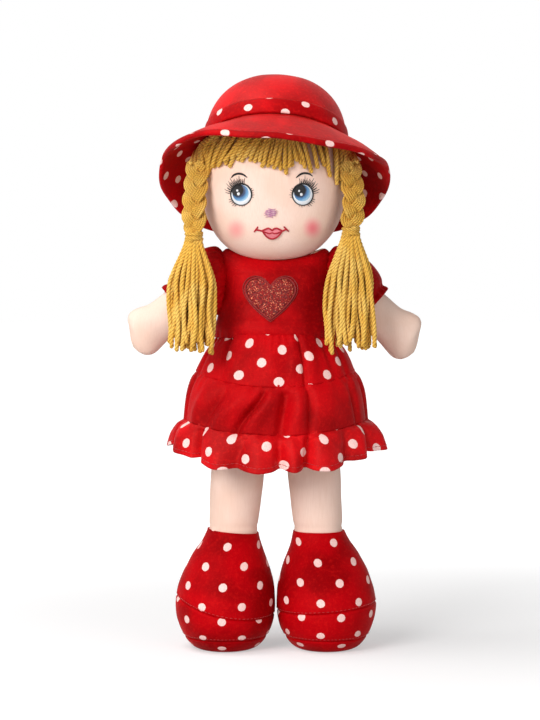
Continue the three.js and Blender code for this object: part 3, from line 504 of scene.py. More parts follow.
def thicken(made, thickness):
    """Gives a skin its cloth's thickness, inwards."""
    wall = made.modifiers.new("Cloth thickness", "SOLIDIFY")
    wall.thickness = thickness * MM
    wall.offset = -1


def strand_outline(name, radius, lobes, corners):
    """The section of yarn or thread, as a flat curve. Yarn has a lobe for each ply."""
    outline = bpy.data.curves.new(name, "CURVE")
    outline.dimensions = "2D"
    around = outline.splines.new("POLY")
    around.points.add(corners - 1)
    around.use_cyclic_u = True
    for k in range(corners):
        turn = k / corners * FULL_TURN
        reach = radius * MM * (1 + (LOBE_DEPTH * math.cos(lobes * turn) if lobes else 0))
        around.points[k].co = (reach * math.cos(turn), reach * math.sin(turn), 0, 1)
    return outline


def tubes(name, strands, radius, finish, lobes=0, twist=0.0, corners=5):
    """Yarn or thread: each strand is its points and their shares of the radius. Yarn has plies, or lobes,
    that turn once in each twist's length."""
    outline = strand_outline(f"{name}_outline", radius, lobes, corners)
    outline_object = bpy.data.objects.new(f"{name}_outline", outline)
    curve = bpy.data.curves.new(f"{name}_curve", "CURVE")
    curve.dimensions = "3D"
    curve.bevel_mode = "OBJECT"
    curve.bevel_object = outline_object
    curve.use_fill_caps = True
    total = 0.0
    for number, (points, shares) in enumerate(strands):
        spline = curve.splines.new("POLY")
        spline.points.add(len(points) - 1)
        along = 0.0
        for k, point in enumerate(points):
            if k:
                along += (point - points[k - 1]).length
            spline.points[k].co = (*in_frame(point), 1)
            spline.points[k].radius = shares[k]
            if twist:
                spline.points[k].tilt = along / twist * FULL_TURN + number * NEXT_TILT
        total += along
    curve_object = bpy.data.objects.new(f"{name}_curve", curve)
    bpy.context.scene.collection.objects.link(curve_object)
    graph = bpy.context.evaluated_depsgraph_get()
    mesh = bpy.data.meshes.new_from_object(curve_object.evaluated_get(graph))
    mesh.name = name
    for leftover in (curve_object, outline_object):
        bpy.data.objects.remove(leftover)
    for leftover in (curve, outline):
        bpy.data.curves.remove(leftover)
    bm = bmesh.new()
    bm.from_mesh(mesh)
    layer = bm.loops.layers.uv.active
    mean = total / max(1, len(strands)) * MM
    for face in bm.faces:
        for loop in face.loops:
            along, around = loop[layer].uv if len(face.verts) == 4 else (0, loop[layer].uv.x)
            loop[layer].uv = (around, along * mean)
    bmesh.ops.remove_doubles(bm, verts=bm.verts, dist=SPUN_WITHIN * MM)
    bmesh.ops.recalc_face_normals(bm, faces=bm.faces)
    bm.to_mesh(mesh)
    bm.free()
    mesh.materials.clear()
    return link(name, mesh, finish)


def strand(points, step, root=False):
    """A strand of yarn on a smooth line, with a rounded tip, and a rounded root where asked for."""
    length = sum((b - a).length for a, b in zip(points, points[1:]))
    count = max(5, int(length / step))
    line = curve_through(points, count)
    shares = [1.0] * count
    tip, first = line[-1].copy(), line[0].copy()
    tip_way = (line[-1] - line[-2]).normalized()
    root_way = (line[0] - line[1]).normalized()
    for reach, share in ROUND_END:
        line.append(tip + tip_way * reach * END_LENGTH)
        shares.append(share)
        if root:
            line.insert(0, first + root_way * reach * END_LENGTH)
            shares.insert(0, share)
    return line, shares


def thread(points, count, shares):
    """A line of thread. shares gives its thickness along the line."""
    rows = [(k / (len(shares) - 1), share) for k, share in enumerate(shares)]
    return curve_through(points, count), [read_rows(rows, k / (count - 1))[0] for k in range(count)]


def same_width(line, share=1.0):
    """A line of points, with the same thickness all along."""
    return line, [share] * len(line)


def stitches(line, length, space):
    """Short stitches along a line of points, each a strand of its own."""
    made = []
    reach = 0.0
    start = None
    for a, b in zip(line, line[1:]):
        if start is None:
            start = a
        reach += (b - a).length
        if reach >= length:
            made.append(([start, (start + b) / 2, b], [0.5, 1.0, 0.5]))
            start = None
            reach = -space
        elif reach < 0:
            start = None
    return made


def ride(made, body, slot, *nodes):
    """Gives a piece its body, and hides the solids that it stands for. slot is not used."""
    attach(made, body)
    if nodes:
        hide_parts(*nodes)


# Materials


def add(tree, kind, inputs=None, **settings):
    """A node with its settings, and with each input linked or set."""
    made = tree.nodes.new(kind)
    for key, value in settings.items():
        setattr(made, key, value)
    for key, value in (inputs or {}).items():
        if isinstance(value, bpy.types.NodeSocket):
            tree.links.new(value, made.inputs[key])
        else:
            made.inputs[key].default_value = value
    return made


def maths(tree, operation, first, second=0.0):
    return add(tree, "ShaderNodeMath", {0: first, 1: second}, operation=operation).outputs[0]


def vectors(tree, operation, first, second=(0, 0, 0)):
    made = add(tree, "ShaderNodeVectorMath", {0: first, 1: second}, operation=operation)
    return made.outputs["Value"] if operation in ("DOT_PRODUCT", "LENGTH") else made.outputs[0]


def ranged(tree, value, low, high, to_low=0.0, to_high=1.0):
    """A value's place between two others, with soft ends."""
    made = add(
        tree,
        "ShaderNodeMapRange",
        {"Value": value, "From Min": low, "From Max": high, "To Min": to_low, "To Max": to_high},
        interpolation_type="SMOOTHSTEP",
    )
    return made.outputs[0]


def blended(tree, share, first, second):
    """Two colours mixed."""
    return add(tree, "ShaderNodeMix", {0: share, 6: first, 7: second}, data_type="RGBA").outputs[2]


def speckle(tree, vector, scale, detail=2.0, roughness=0.5):
    inputs = {"Vector": vector, "Scale": scale, "Detail": detail, "Roughness": roughness}
    return add(tree, "ShaderNodeTexNoise", inputs).outputs["Fac"]


def distance_from(tree, place, centre, stretch):
    """How far a place is from a centre, with each axis stretched."""
    from_centre = vectors(tree, "MULTIPLY", vectors(tree, "SUBTRACT", place, centre), stretch)
    return vectors(tree, "LENGTH", from_centre)


def start_material(name, roughness, specular=0.2, sheen=0.0, sheen_roughness=0.4, sheen_tint=(1, 1, 1)):
    """A new material with its steady values, and the place on the piece for its patterns."""
    made = bpy.data.materials.new(name)
    made.use_nodes = True
    tree = made.node_tree
    shader = tree.nodes["Principled BSDF"]
    shader.inputs["Roughness"].default_value = roughness
    shader.inputs["Specular IOR Level"].default_value = specular
    shader.inputs["Sheen Weight"].default_value = sheen
    shader.inputs["Sheen Roughness"].default_value = sheen_roughness
    shader.inputs["Sheen Tint"].default_value = linear(sheen_tint)
    return tree, shader, add(tree, "ShaderNodeTexCoord").outputs["Object"]


def show(tree, shader, colour, height, distance, strength):
    """Joins the colour to the shader, and a relief that is raised by a distance in mm."""
    tree.links.new(colour, shader.inputs["Base Color"])
    bump = add(tree, "ShaderNodeBump", {"Strength": strength, "Distance": distance * MM, "Height": height})
    tree.links.new(bump.outputs[0], shader.inputs["Normal"])


def dots(tree, flat, steps, dot, half, edge):
    """1 inside a dot and 0 outside, on the flat cloth. dot is the place of one of them, in mm."""
    (ax, ay), (bx, by) = steps
    size = ax * by - ay * bx
    middle = ((ax + bx) / 2 - dot[0], (ay + by) / 2 - dot[1])
    moved = vectors(tree, "ADD", flat, (middle[0] * MM, middle[1] * MM, 0))
    one = vectors(tree, "DOT_PRODUCT", moved, (by / size / MM, -bx / size / MM, 0))
    two = vectors(tree, "DOT_PRODUCT", moved, (-ay / size / MM, ax / size / MM, 0))
    one = maths(tree, "SUBTRACT", maths(tree, "FRACT", one), 0.5)
    two = maths(tree, "SUBTRACT", maths(tree, "FRACT", two), 0.5)
    reach = []
    for step_one, step_two, radius in ((ax, bx, half[0]), (ay, by, half[1])):
        first = maths(tree, "MULTIPLY", one, step_one / radius)
        second = maths(tree, "MULTIPLY", two, step_two / radius)
        reach.append(maths(tree, "ADD", first, second))
    away = vectors(tree, "LENGTH", add(tree, "ShaderNodeCombineXYZ", dict(enumerate(reach))).outputs[0])
    frayed = maths(tree, "MULTIPLY", maths(tree, "SUBTRACT", edge, 0.5), 0.22)
    return ranged(tree, maths(tree, "ADD", away, frayed), 1.06, 0.94)


def velour(name, shade, shine, dot=None, half=None, steps=None):
    """Short pile in random patches of lit and shaded red, part real crush and part painted highlight and
    painted shade, with printed dots where dot gives the place of one.
    """
    looks = bpy.context.scene.rag_doll
    tree, shader, place = start_material(name, 0.58, shine, 0.14, 0.3, (1, 0.34, 0.2))
    shader.inputs["Specular Tint"].default_value = (1, 0.62, 0.5, 1)
    brushed = speckle(tree, place, 30)
    pile = speckle(tree, vectors(tree, "MULTIPLY", place, (1, 1, 0.6)), 1500, 2, 0.7)
    nap_and_highlight = speckle(tree, place, 420, 2, 0.6)
    # shade scales this piece's copy of the red: painted light above 1, painted shade below 1.
    red = scaled(linear(looks.velour_red), shade)
    dark = scaled(linear(looks.velour_shade), shade)
    light = scaled(linear(looks.velour_light), shade)
    # The patches, nap and pile mix in the shaded and lit copies: part real brushed pile, part painted shade
    # and painted highlight.
    colour = blended(tree, ranged(tree, brushed, 0.35, 0.62), dark, red)
    colour = blended(tree, ranged(tree, nap_and_highlight, 0.45, 0.75, 0, 0.28), colour, light)
    colour = blended(tree, ranged(tree, pile, 0.3, 0.7, 0.0, 0.3), colour, dark)
    if dot:
        flat = add(tree, "ShaderNodeUVMap", uv_map="cloth").outputs[0]
        printed = dots(tree, flat, steps, dot, half, pile)
        # The dots turn darker in the gaps of their pile: painted shade.
        pink, gaps = linear(looks.dot_pink), linear(looks.dot_shade)
        colour = blended(tree, printed, colour, blended(tree, ranged(tree, pile, 0.3, 0.75), pink, gaps))
    height = maths(tree, "ADD", maths(tree, "MULTIPLY", pile, 0.6), maths(tree, "MULTIPLY", nap_and_highlight, 0.4))
    show(tree, shader, colour, height, 0.3, 0.6)


def yarn_material(name):
    """Twisted plies with painted shade in the grooves between them, and loose fibres on the surface. Raised
    fibres and random patches take a lit copy of the gold, part real fibre colour and part painted
    highlight.
    """
    looks = bpy.context.scene.rag_doll
    tree, shader, place = start_material(name, 0.88, 0.15, 0.35, 0.5, (1, 0.86, 0.55))
    gold, light = linear(looks.yarn_gold), linear(looks.yarn_light)
    flat = add(tree, "ShaderNodeUVMap", uv_map="UVMap").outputs[0]
    around = add(tree, "ShaderNodeSeparateXYZ", {0: flat}).outputs[0]
    ply = maths(tree, "COSINE", maths(tree, "MULTIPLY", around, PLIES * FULL_TURN))
    fibres = speckle(tree, vectors(tree, "MULTIPLY", flat, (26, 700, 1)), 1.0, 3, 0.65)
    fuzz = speckle(tree, place, 2600, 2, 0.7)
    patches = speckle(tree, place, 55, 1)
    # A lit copy of the gold in random patches and, below, on raised fibres: part real fibre colour, part
    # painted highlight.
    colour = blended(tree, ranged(tree, patches, 0.4, 0.62, 0, 0.5), gold, light)
    # Painted shade in the grooves between the plies.
    groove = maths(tree, "MULTIPLY", ranged(tree, ply, -1.0, 0.3, 1.0, 0.0), 0.62)
    colour = blended(tree, groove, colour, linear(looks.yarn_shade))
    colour = blended(tree, ranged(tree, fibres, 0.52, 0.75, 0, 0.35), colour, light)
    height = maths(tree, "ADD", fibres, maths(tree, "MULTIPLY", fuzz, 0.6))
    show(tree, shader, colour, height, 0.3, 0.7)


def thread_material(name, colour_name, pitch, across, variation):
    """Satin stitches laid side by side, with painted shade between them. across is the direction that
    crosses them.
    """
    base = linear(getattr(bpy.context.scene.rag_doll, colour_name))
    tree, shader, place = start_material(name, 0.48, 0.35, 0.2)
    wobble = speckle(tree, place, 500)
    along = vectors(tree, "DOT_PRODUCT", place, Vector(across).normalized())
    phase = maths(tree, "MULTIPLY", along, FULL_TURN / (pitch * MM))
    phase = maths(tree, "ADD", phase, maths(tree, "MULTIPLY", wobble, 5.0))
    rib = maths(tree, "ADD", maths(tree, "MULTIPLY", maths(tree, "SINE", phase), 0.5), 0.5)
    # Painted shade between the stitches, as deep as variation says.
    colour = blended(tree, rib, scaled(base, 1 - variation), base)
    show(tree, shader, colour, rib, 0.16, 0.8)


def iris_material(name, eye):
    """Blue thread that is dark beside the pupil and pale at the rim."""
    looks = bpy.context.scene.rag_doll
    tree, shader, place = start_material(name, 0.4, 0.4, 0.15)
    centre = in_frame((eye[0] + PUPIL_SHIFT[0], 0, eye[1] + PUPIL_SHIFT[1]))
    away = distance_from(tree, place, centre, (1, 0, 1))
    sewn = speckle(tree, vectors(tree, "MULTIPLY", place, (1, 1, 0.25)), 2400)
    away = maths(tree, "ADD", away, maths(tree, "MULTIPLY", sewn, 1.2 * MM))
    dark, blue, light = linear(looks.iris_dark), linear(looks.iris_blue), linear(looks.iris_light)
    colour = blended(tree, ranged(tree, away, 4.6 * MM, 6.4 * MM), dark, blue)
    colour = blended(tree, ranged(tree, away, 6.3 * MM, 7.9 * MM), colour, light)
    show(tree, shader, colour, sewn, 0.16, 0.6)


def skin_material(name):
    """Fine knitted cloth with upright ribs and painted shade between them. The face has a blush on each
    cheek.
    """
    looks = bpy.context.scene.rag_doll
    tree, shader, place = start_material(name, 0.86, 0.15, 0.3, 0.5, (1, 0.88, 0.8))
    cloudy = speckle(tree, place, 40, 3)
    rows = speckle(tree, vectors(tree, "MULTIPLY", place, (1, 1, 0.06)), 1500, 1)
    knit = speckle(tree, place, 2400, 2, 0.6)
    skin, warm = linear(looks.skin_cloth), linear(looks.skin_warm)
    colour = blended(tree, ranged(tree, cloudy, 0.35, 0.7), skin, warm)
    # Painted shade between the knit's ribs.
    colour = blended(tree, ranged(tree, rows, 0.4, 0.7, 0, 0.22), colour, linear(looks.skin_shade))
    if name == "face_cloth":
        depth = add(tree, "ShaderNodeSeparateXYZ", {0: place}).outputs[1]
        front = ranged(tree, depth, -6 * MM, -16 * MM)
        for across, up, strength in BLUSHES:
            away = distance_from(tree, place, in_frame((across, 0, up)), (1, 0, 0.9))
            away = maths(tree, "ADD", away, maths(tree, "MULTIPLY", knit, 1.2 * MM))
            spot = maths(tree, "MULTIPLY", ranged(tree, away, 9.2 * MM, 1.0 * MM), front)
            spot = maths(tree, "MULTIPLY", spot, strength)
            colour = blended(tree, spot, colour, linear(looks.blush_pink))
    height = maths(tree, "ADD", maths(tree, "MULTIPLY", rows, 0.6), maths(tree, "MULTIPLY", knit, 0.4))
    show(tree, shader, colour, height, 0.22, 0.45)


def glitter_material(name):
    """Flakes of foil that face different ways, on a dark ground, a few of them painted bright as painted
    glints.
    """
    looks = bpy.context.scene.rag_doll
    tree, shader, place = start_material(name, 0.5, 0.25)
    flakes = add(tree, "ShaderNodeTexVoronoi", {"Vector": place, "Scale": 1900.0}, feature="F1")
    spread = add(tree, "ShaderNodeSeparateXYZ", {0: flakes.outputs["Color"]}).outputs
    dark, copper = linear(looks.glitter_dark), linear(looks.glitter_copper)
    colour = blended(tree, ranged(tree, spread[0], 0.3, 0.85), dark, copper)
    # A few flakes in glitter_bright: painted glints.
    colour = blended(tree, ranged(tree, spread[1], 0.87, 0.96), colour, linear(looks.glitter_bright))
    tree.links.new(colour, shader.inputs["Base Color"])
    lean = vectors(tree, "SUBTRACT", flakes.outputs["Color"], (0.5, 0.5, 0.5))
    lean = vectors(tree, "MULTIPLY", lean, (0.9, 0.9, 0.9))
    facing = add(tree, "ShaderNodeNewGeometry").outputs["Normal"]
    tilted = vectors(tree, "NORMALIZE", vectors(tree, "ADD", facing, lean))
    tree.links.new(tilted, shader.inputs["Normal"])


def floor_material(name):
    """White paper where it is seen, that keeps the doll's shadow and throws back a plain light."""
    looks = bpy.context.scene.rag_doll
    made = bpy.data.materials.new(name)
    made.use_nodes = True
    tree = made.node_tree
    tree.nodes.clear()
    out = add(tree, "ShaderNodeOutputMaterial")
    matt = add(tree, "ShaderNodeBsdfDiffuse", {"Color": (0.6, 0.595, 0.595, 1)})
    seen = seen_by_eye(tree)
    away = vectors(tree, "LENGTH", add(tree, "ShaderNodeTexCoord").outputs["Object"])
    glow = maths(tree, "MULTIPLY", seen, ranged(tree, away, 0.15, 0.9, looks.floor_glow, 1.0))
    glow = add(tree, "ShaderNodeEmission", {"Color": (1, 1, 1, 1), "Strength": glow})
    both = add(tree, "ShaderNodeAddShader", {0: matt.outputs[0], 1: glow.outputs[0]})
    tree.links.new(both.outputs[0], out.inputs["Surface"])


def seen_by_eye(tree):
    """1 where the camera sees it, also in gloss and through glass, and 0 for the light that it throws."""
    path = add(tree, "ShaderNodeLightPath").outputs
    seen = maths(tree, "MAXIMUM", path["Is Camera Ray"], path["Is Glossy Ray"])
    return maths(tree, "MAXIMUM", seen, path["Is Transmission Ray"])


OTHER_FINISHES = {
    "hair_yarn": yarn_material,
    "limb_cloth": skin_material,
    "face_cloth": skin_material,
    "heart_glitter": glitter_material,
    "white_floor": floor_material,
}


def material(name):
    """A finish by its name, made once."""
    if name not in bpy.data.materials:
        if name in VELOURS:
            velour(name, *VELOURS[name])
        elif name in THREADS:
            thread_material(name, *THREADS[name])
        else:
            OTHER_FINISHES[name](name)
    return bpy.data.materials[name]


# Forms that several pieces share


def head_share(x, up):
    """How far out a place is as seen from the front: 0 in the middle and 1 at the head's edge."""
    power = JAW_POWER if up < 0 else 2.0
    tall = HEAD_CHIN_DROP if up < 0 else HEAD_CROWN_RISE
    return (abs(x / HEAD_HALF_WIDTH) ** power + abs(up / tall) ** power) ** (1 / power)


def chin_push(z):
    """How far forward the lower face is."""
    return -CHIN_FORWARD * max(0.0, (HEAD_CENTRE - z) / HEAD_CHIN_DROP) ** 2


def head_point(x, z, lift):
    """A place on the front of the head, by across and up as it is seen. lift is outwards."""
    across, up = x - HEAD_ASIDE, z - HEAD_CENTRE

    def depth(at_x, at_up):
        share = min(0.9995, head_share(at_x, at_up))
        return HEAD_HALF_DEPTH * (1 - share**FACE_POWER) ** (1 / FACE_POWER)

    step = 0.5
    slope_x = (depth(across + step, up) - depth(across - step, up)) / (2 * step)
    slope_up = (depth(across, up + step) - depth(across, up - step)) / (2 * step)
    out = Vector((-slope_x, 1, -slope_up)).normalized()
    where = Vector((across, depth(across, up), up)) + out * lift
    where += Vector((HEAD_ASIDE, 0, HEAD_CENTRE))
    where.y = -where.y + chin_push(where.z)
    return where


def on_face(points, lift):
    return [head_point(x, z, lift) for x, z in points]


def head_direction(turn, rise, lift=0.0):
    """A place on the head by direction: turn from the front and rise above the middle."""
    way = ring(math.cos(rise), math.cos(rise), turn, math.sin(rise))
    share = math.hypot(way.x, way.z)
    y = HEAD_HALF_DEPTH * max(0.0, 1 - share**FACE_POWER) ** (1 / FACE_POWER)
    power = JAW_POWER if way.z < 0 else 2.0
    full = (abs(way.x) ** power + abs(way.z) ** power) ** (1 / power)
    fit = share / full if full > 1e-9 else 1.0
    tall = HEAD_CROWN_RISE if way.z > 0 else HEAD_CHIN_DROP
    x = HEAD_ASIDE + way.x * fit * HEAD_HALF_WIDTH + way.x * lift
    y = math.copysign(y, way.y) + way.y * lift
    where = Vector((x, y, HEAD_CENTRE + way.z * fit * tall + way.z * lift))
    where.y += chin_push(where.z)
    return where


def in_hat(point):
    """From the hat's own place and lean to the doll's."""
    return HAT_TURN @ point + HAT_SEAT


def under_hat(point, room=3.4):
    """The point itself, or the near place that leaves room for the hat's cloth."""
    where = HAT_TURN.transposed() @ (point - HAT_SEAT)
    limit = CROWN_RADIUS - room
    flat = math.hypot(where.x, where.y)
    if where.z > 0 and where.length > limit:
        where *= limit / where.length
    elif flat > limit:
        where.z = min(where.z, -1.5 * room - 0.3 * (flat - limit))
    return in_hat(where)


def tucked(strands):
    """Strands of hair, kept under the hat."""
    return [([under_hat(point) for point in line], shares) for line, shares in strands]


def brim_point(turn, reach, below):
    """A place on the brim: turned from the front, out from the crown's seam, and under its top."""
    front = max(0.0, math.cos(turn))
    droop = BRIM_DROOPS["side"]
    for place, share in (("front", front), ("back", max(0.0, -math.cos(turn)))):
        droop += (BRIM_DROOPS[place] - BRIM_DROOPS["side"]) * smooth(share)
    share = reach / BRIM_WIDTH
    wave = math.sin(BRIM_WAVES * turn) * share * share
    wave += 0.7 * math.sin(9 * turn + 1.0) * max(0.0, share) ** 3
    pull = read_rows(BRIM_PULLS, math.degrees(turn))[0] * smooth(share)
    swell = 2.6 * math.sin(math.pi * min(1.0, max(0.0, share))) * (1 - 0.5 * front)
    out = CROWN_RADIUS - 0.7 + reach * math.cos(droop) - (below - swell) * math.sin(droop)
    up = -0.3 - reach * math.sin(droop) + wave + pull - (below - swell) * math.cos(droop)
    return in_hat(ring(out, out, turn, up))


def crown_point(turn, rise, grow):
    """A place on the hat's crown: turned from the front, and up from its seam. Its sides are fuller."""
    radius = CROWN_RADIUS + 2.6 * math.sin(2 * rise) ** 2 * math.sin(turn) ** 2 + grow
    flat = radius * math.cos(rise)
    return in_hat(ring(flat, flat, turn, radius * math.sin(rise)))


def torso_height(share):
    return TORSO_BOTTOM + share * (SHOULDER_HEIGHT - TORSO_BOTTOM)


def torso_share(z):
    return (z - TORSO_BOTTOM) / (SHOULDER_HEIGHT - TORSO_BOTTOM)


def torso_point(turn, share, grow):
    """A place on the torso, turned from the front. The shoulders are higher, and the neck's root is not."""
    wide, deep = read_rows(TORSO_SHARES, share)
    shoulder = smooth((share - 0.8) / 0.2)
    neck = 1 - 0.75 * smooth((share - 0.995) / 0.035)
    rise = shoulder * (7.0 * math.sin(turn) ** 2 * neck - 4.0 * math.cos(turn) ** 2)
    out = grow if wide > 0.01 else 0
    half_wide, half_deep = wide * TORSO_HALF_WIDTH + out, deep * TORSO_HALF_DEPTH + out
    return ring(half_wide, half_deep, turn, torso_height(share) + rise)


def bodice_front(where, lift):
    """A place on the front of the bodice, by across and up as it is seen."""
    wide, deep = read_rows(TORSO_SHARES, torso_share(where.z))
    half_wide = wide * TORSO_HALF_WIDTH + BODICE_ROOM
    half_deep = deep * TORSO_HALF_DEPTH + BODICE_ROOM + lift
    y = -half_deep * math.sqrt(max(0.0, 1 - (where.x / half_wide) ** 2))
    return Vector((where.x, y, where.z))


def arm_point(turn, share, side):
    """A place on an arm, round a section that runs from its upper edge to its lower edge."""
    top_x, top_z, low_x, low_z, depth = read_rows(ARM_STATIONS, share)
    top, low = Vector((top_x, 0, top_z)), Vector((low_x, 0, low_z))
    full = math.cos(turn)
    where = (top + low) / 2 + (top - low) / 2 * math.copysign(abs(full) ** 0.92, full)
    where.y = -depth * math.sin(turn)
    if side < 0:
        seam = Vector((ARM_SEAM[0], 0, ARM_SEAM[1]))
        where = Matrix.Rotation(-RIGHT_ARM_RISE, 3, "Y") @ (where - seam) + seam
    where.x *= side
    return where


def boot_point(turn, height, side, grow=0.0):
    """A place on a boot, turned from its toe. The toe is a little longer than the heel."""
    wide, deep, out, forward = read_rows(BOOT_ROWS, height)
    toe = 1 + 0.03 * math.cos(turn)
    x = side * out + (wide + grow) * math.sin(turn)
    return Vector((x, -forward - (deep * toe + grow) * math.cos(turn), height))


def toe_seam(turn, side):
    """The height of the seam between a boot's upper and its toe band."""
    level, tilt, bend = TOE_SEAMS["left" if side > 0 else "right"]
    out = side * 34.2 * math.sin(turn)
    return level + tilt * out + bend * out * out


def fold_depth(tier, turn, share):
    """How far a tier's cloth lies out of its even round, or into it, where it is folded."""
    fold = 0.0
    for top, foot, width, first, middle, last in FOLDS[tier]:
        apart = (turn - mix(top, foot, smooth(share)) + math.pi) % FULL_TURN - math.pi
        depth = mix(first, middle, share * 2) if share < 0.5 else mix(middle, last, share * 2 - 1)
        fold -= depth * bump_of(apart, width)
    return fold * FOLD_SCALES[tier]


def skirt_point(tier, upper, lower, turn, share, grow, bulge):
    """A place on a tier of the skirt. share runs from its upper edge to its lower edge."""
    height, lift, wide, deep = (mix(a, b, share) for a, b in zip(upper, lower))
    down = max(0.0, share)
    side = math.sin(turn) ** 2
    fold = fold_depth(tier, turn, share)
    if tier in TIER_ABOVE:
        fold = mix(fold_depth(TIER_ABOVE[tier], turn, 1.0), fold, smooth(share / 0.16))
    hang = 0.25
    if tier == "skirt_ruffle":
        flare = down**0.62
        wide, deep = mix(upper[2], lower[2], flare), mix(upper[3], lower[3], flare)
        hang = -0.25
        lift += 8.5 * down * side
    puff = bulge * math.sin(math.pi * min(1.0, down) ** 0.7)
    ripple = 0.35 * math.sin(41 * turn + 3 * math.sin(5 * turn)) * max(0.0, 1 - share * 3)
    uneven = 0.5 * rough(turn * 3.0, share * 1.5, len(tier))
    sag = 0.9 * rough(turn * 2.3, 4.0, len(tier)) * share
    out = fold + puff + ripple + uneven + grow
    return ring(wide + out, deep + out, turn, height + lift * side + sag + hang * fold * share)


def inside(rim, middle, u, v):
    """A place within a closed outline: round it by u, and out from its middle by v."""
    return middle.lerp(rim[round(u * len(rim)) % len(rim)], v)


# Pieces


def sew_head():
    def head_at(u, v):
        where = head_direction(turn_at(u), (v - 0.5) * math.pi)
        lump = 0.5 * noise.noise(where * 0.045)
        return where + (where - Vector((0, 0, HEAD_CENTRE))).normalized() * lump

    def head_cloth(u, v):
        return u * 300, v * 180

    head = surface("head_cloth", "face_cloth", (112, 72), head_at, head_cloth, closed=True)
    ride(head, "head", "skin_cloth", "head_skin", "head_filling")

    def neck_at(u, v):
        turn = u * FULL_TURN
        full = math.sin(math.acos(min(1.0, abs(v * 2 - 1) ** 1.5))) ** 0.6 if 0 < v < 1 else 0
        radius = NECK_RADIUS * full * (1 + 0.02 * math.sin(14 * turn))
        return ring(radius, radius, turn, mix(*NECK_HEIGHTS, v))

    neck = surface("neck_cloth", "limb_cloth", (48, 16), neck_at, closed=True)
    ride(neck, "neck", "skin_cloth", "neck")


def lens(name, finish, middle, half, lift, height, eye=None, limit=1.0):
    """An oval patch of stitches on the face, thickest in the middle, and kept within an eye's oval."""

    def patch_at(u, v):
        turn = u * FULL_TURN
        x, z = middle[0] + half[0] * math.cos(turn) * v, middle[1] + half[1] * math.sin(turn) * v
        if eye:
            dx, dz = x - eye[0], z - eye[1]
            reach = max(1.0, math.hypot(dx / (EYE_HALF[0] * limit), dz / (EYE_HALF[1] * limit)))
            x, z = eye[0] + dx / reach, eye[1] + dz / reach
        rise = lift + height * (1 - v**3) - 0.5 * past(v, PATCH_RIM) * (lift + 0.15)
        return head_point(x, z, rise)

    return surface(name, finish, (56, 12), patch_at, patch_cloth, flip=True)


def patch_cloth(u, v):
    return u * 40, v * 8


def eye_rim(eye, side, turn):
    """A place on an eye's outline, turned up from its outer side."""
    return eye[0] + side * EYE_RIM[0] * math.cos(turn), eye[1] + EYE_RIM[1] * math.sin(turn)


def lashes(name, side):
    """Fine stitches that fan out from the eye's rim."""
    made = []
    for first, last, count, long, thick in LASH_ROWS:
        for k in range(count):
            share = (k + 0.5) / count
            angle = math.radians(mix(first, last, share))
            bent = angle - math.radians(13 if angle > 0.9 else -6)
            reach = long * (0.72 + 0.28 * math.sin(math.pi * share)) * (0.9 + 0.2 * math.sin(k * 2.3))
            x, z = eye_rim(EYES[name], side, angle)
            end = (x + side * reach * math.cos(bent), z + reach * math.sin(bent))
            middle = (
                mix(x, end[0], 0.5) + side * 0.1 * math.sin(angle) * reach,
                mix(z, end[1], 0.5) - 0.06 * math.cos(angle) * reach,
            )
            line = on_face(((x, z), middle, end), 0.4)
            made.append(thread(line, 6, (thick / 0.5, thick / 0.6, thick / 1.4)))
    return made


def embroider_eyes():
    for name, side in SIDES:
        eye = EYES[name]
        iris_material(f"{name}_iris_thread", eye)
        patches = (
            ("eye_white", "eye_thread", "white_thread", (0, 0), EYE_HALF, 0.35, 1.0),
            ("iris", f"{name}_iris_thread", "blue_thread", IRIS_SHIFT, IRIS_HALF, 0.62, 0.96),
            ("pupil", "lash_thread", "black_thread", PUPIL_SHIFT, PUPIL_HALF, 0.85, 0.94),
        )
        for part, finish, slot, shift, half, lift, limit in patches:
            middle = (eye[0] + shift[0], eye[1] + shift[1])
            patch = lens(f"{name}_{part}_stitches", finish, middle, half, lift, 0.5, eye, limit)
            ride(patch, "head", slot, f"{name}_{part}")
        for number, (across, up, radius) in enumerate(GLINTS[name], 1):
            middle, half = (eye[0] + across, eye[1] + up), (radius, radius * 1.1)
            glint = lens(f"{name}_eye_glint_{number}", "eye_thread", middle, half, 1.45, 0.3)
            ride(glint, "head", "white_thread")
        turns = [k / 72 * FULL_TURN for k in range(73)]
        rim = on_face([eye_rim(eye, 1, turn) for turn in turns], 0.45)
        strands = [(rim, [0.95 + 0.3 * math.sin(turn) for turn in turns]), *lashes(name, side)]
        outline = tubes(f"{name}_eye_outline", strands, 0.5, "lash_thread", corners=6)
        ride(outline, "head", "black_thread")
        brow_line = thread(on_face(BROWS[name], 0.4), 24, (0.35, 0.9, 1.0, 0.9, 0.4))
        brow = tubes(f"{name}_brow_stitches", [brow_line], 0.72, "lash_thread", corners=8)
        ride(brow, "head", "black_thread", f"{name}_brow")


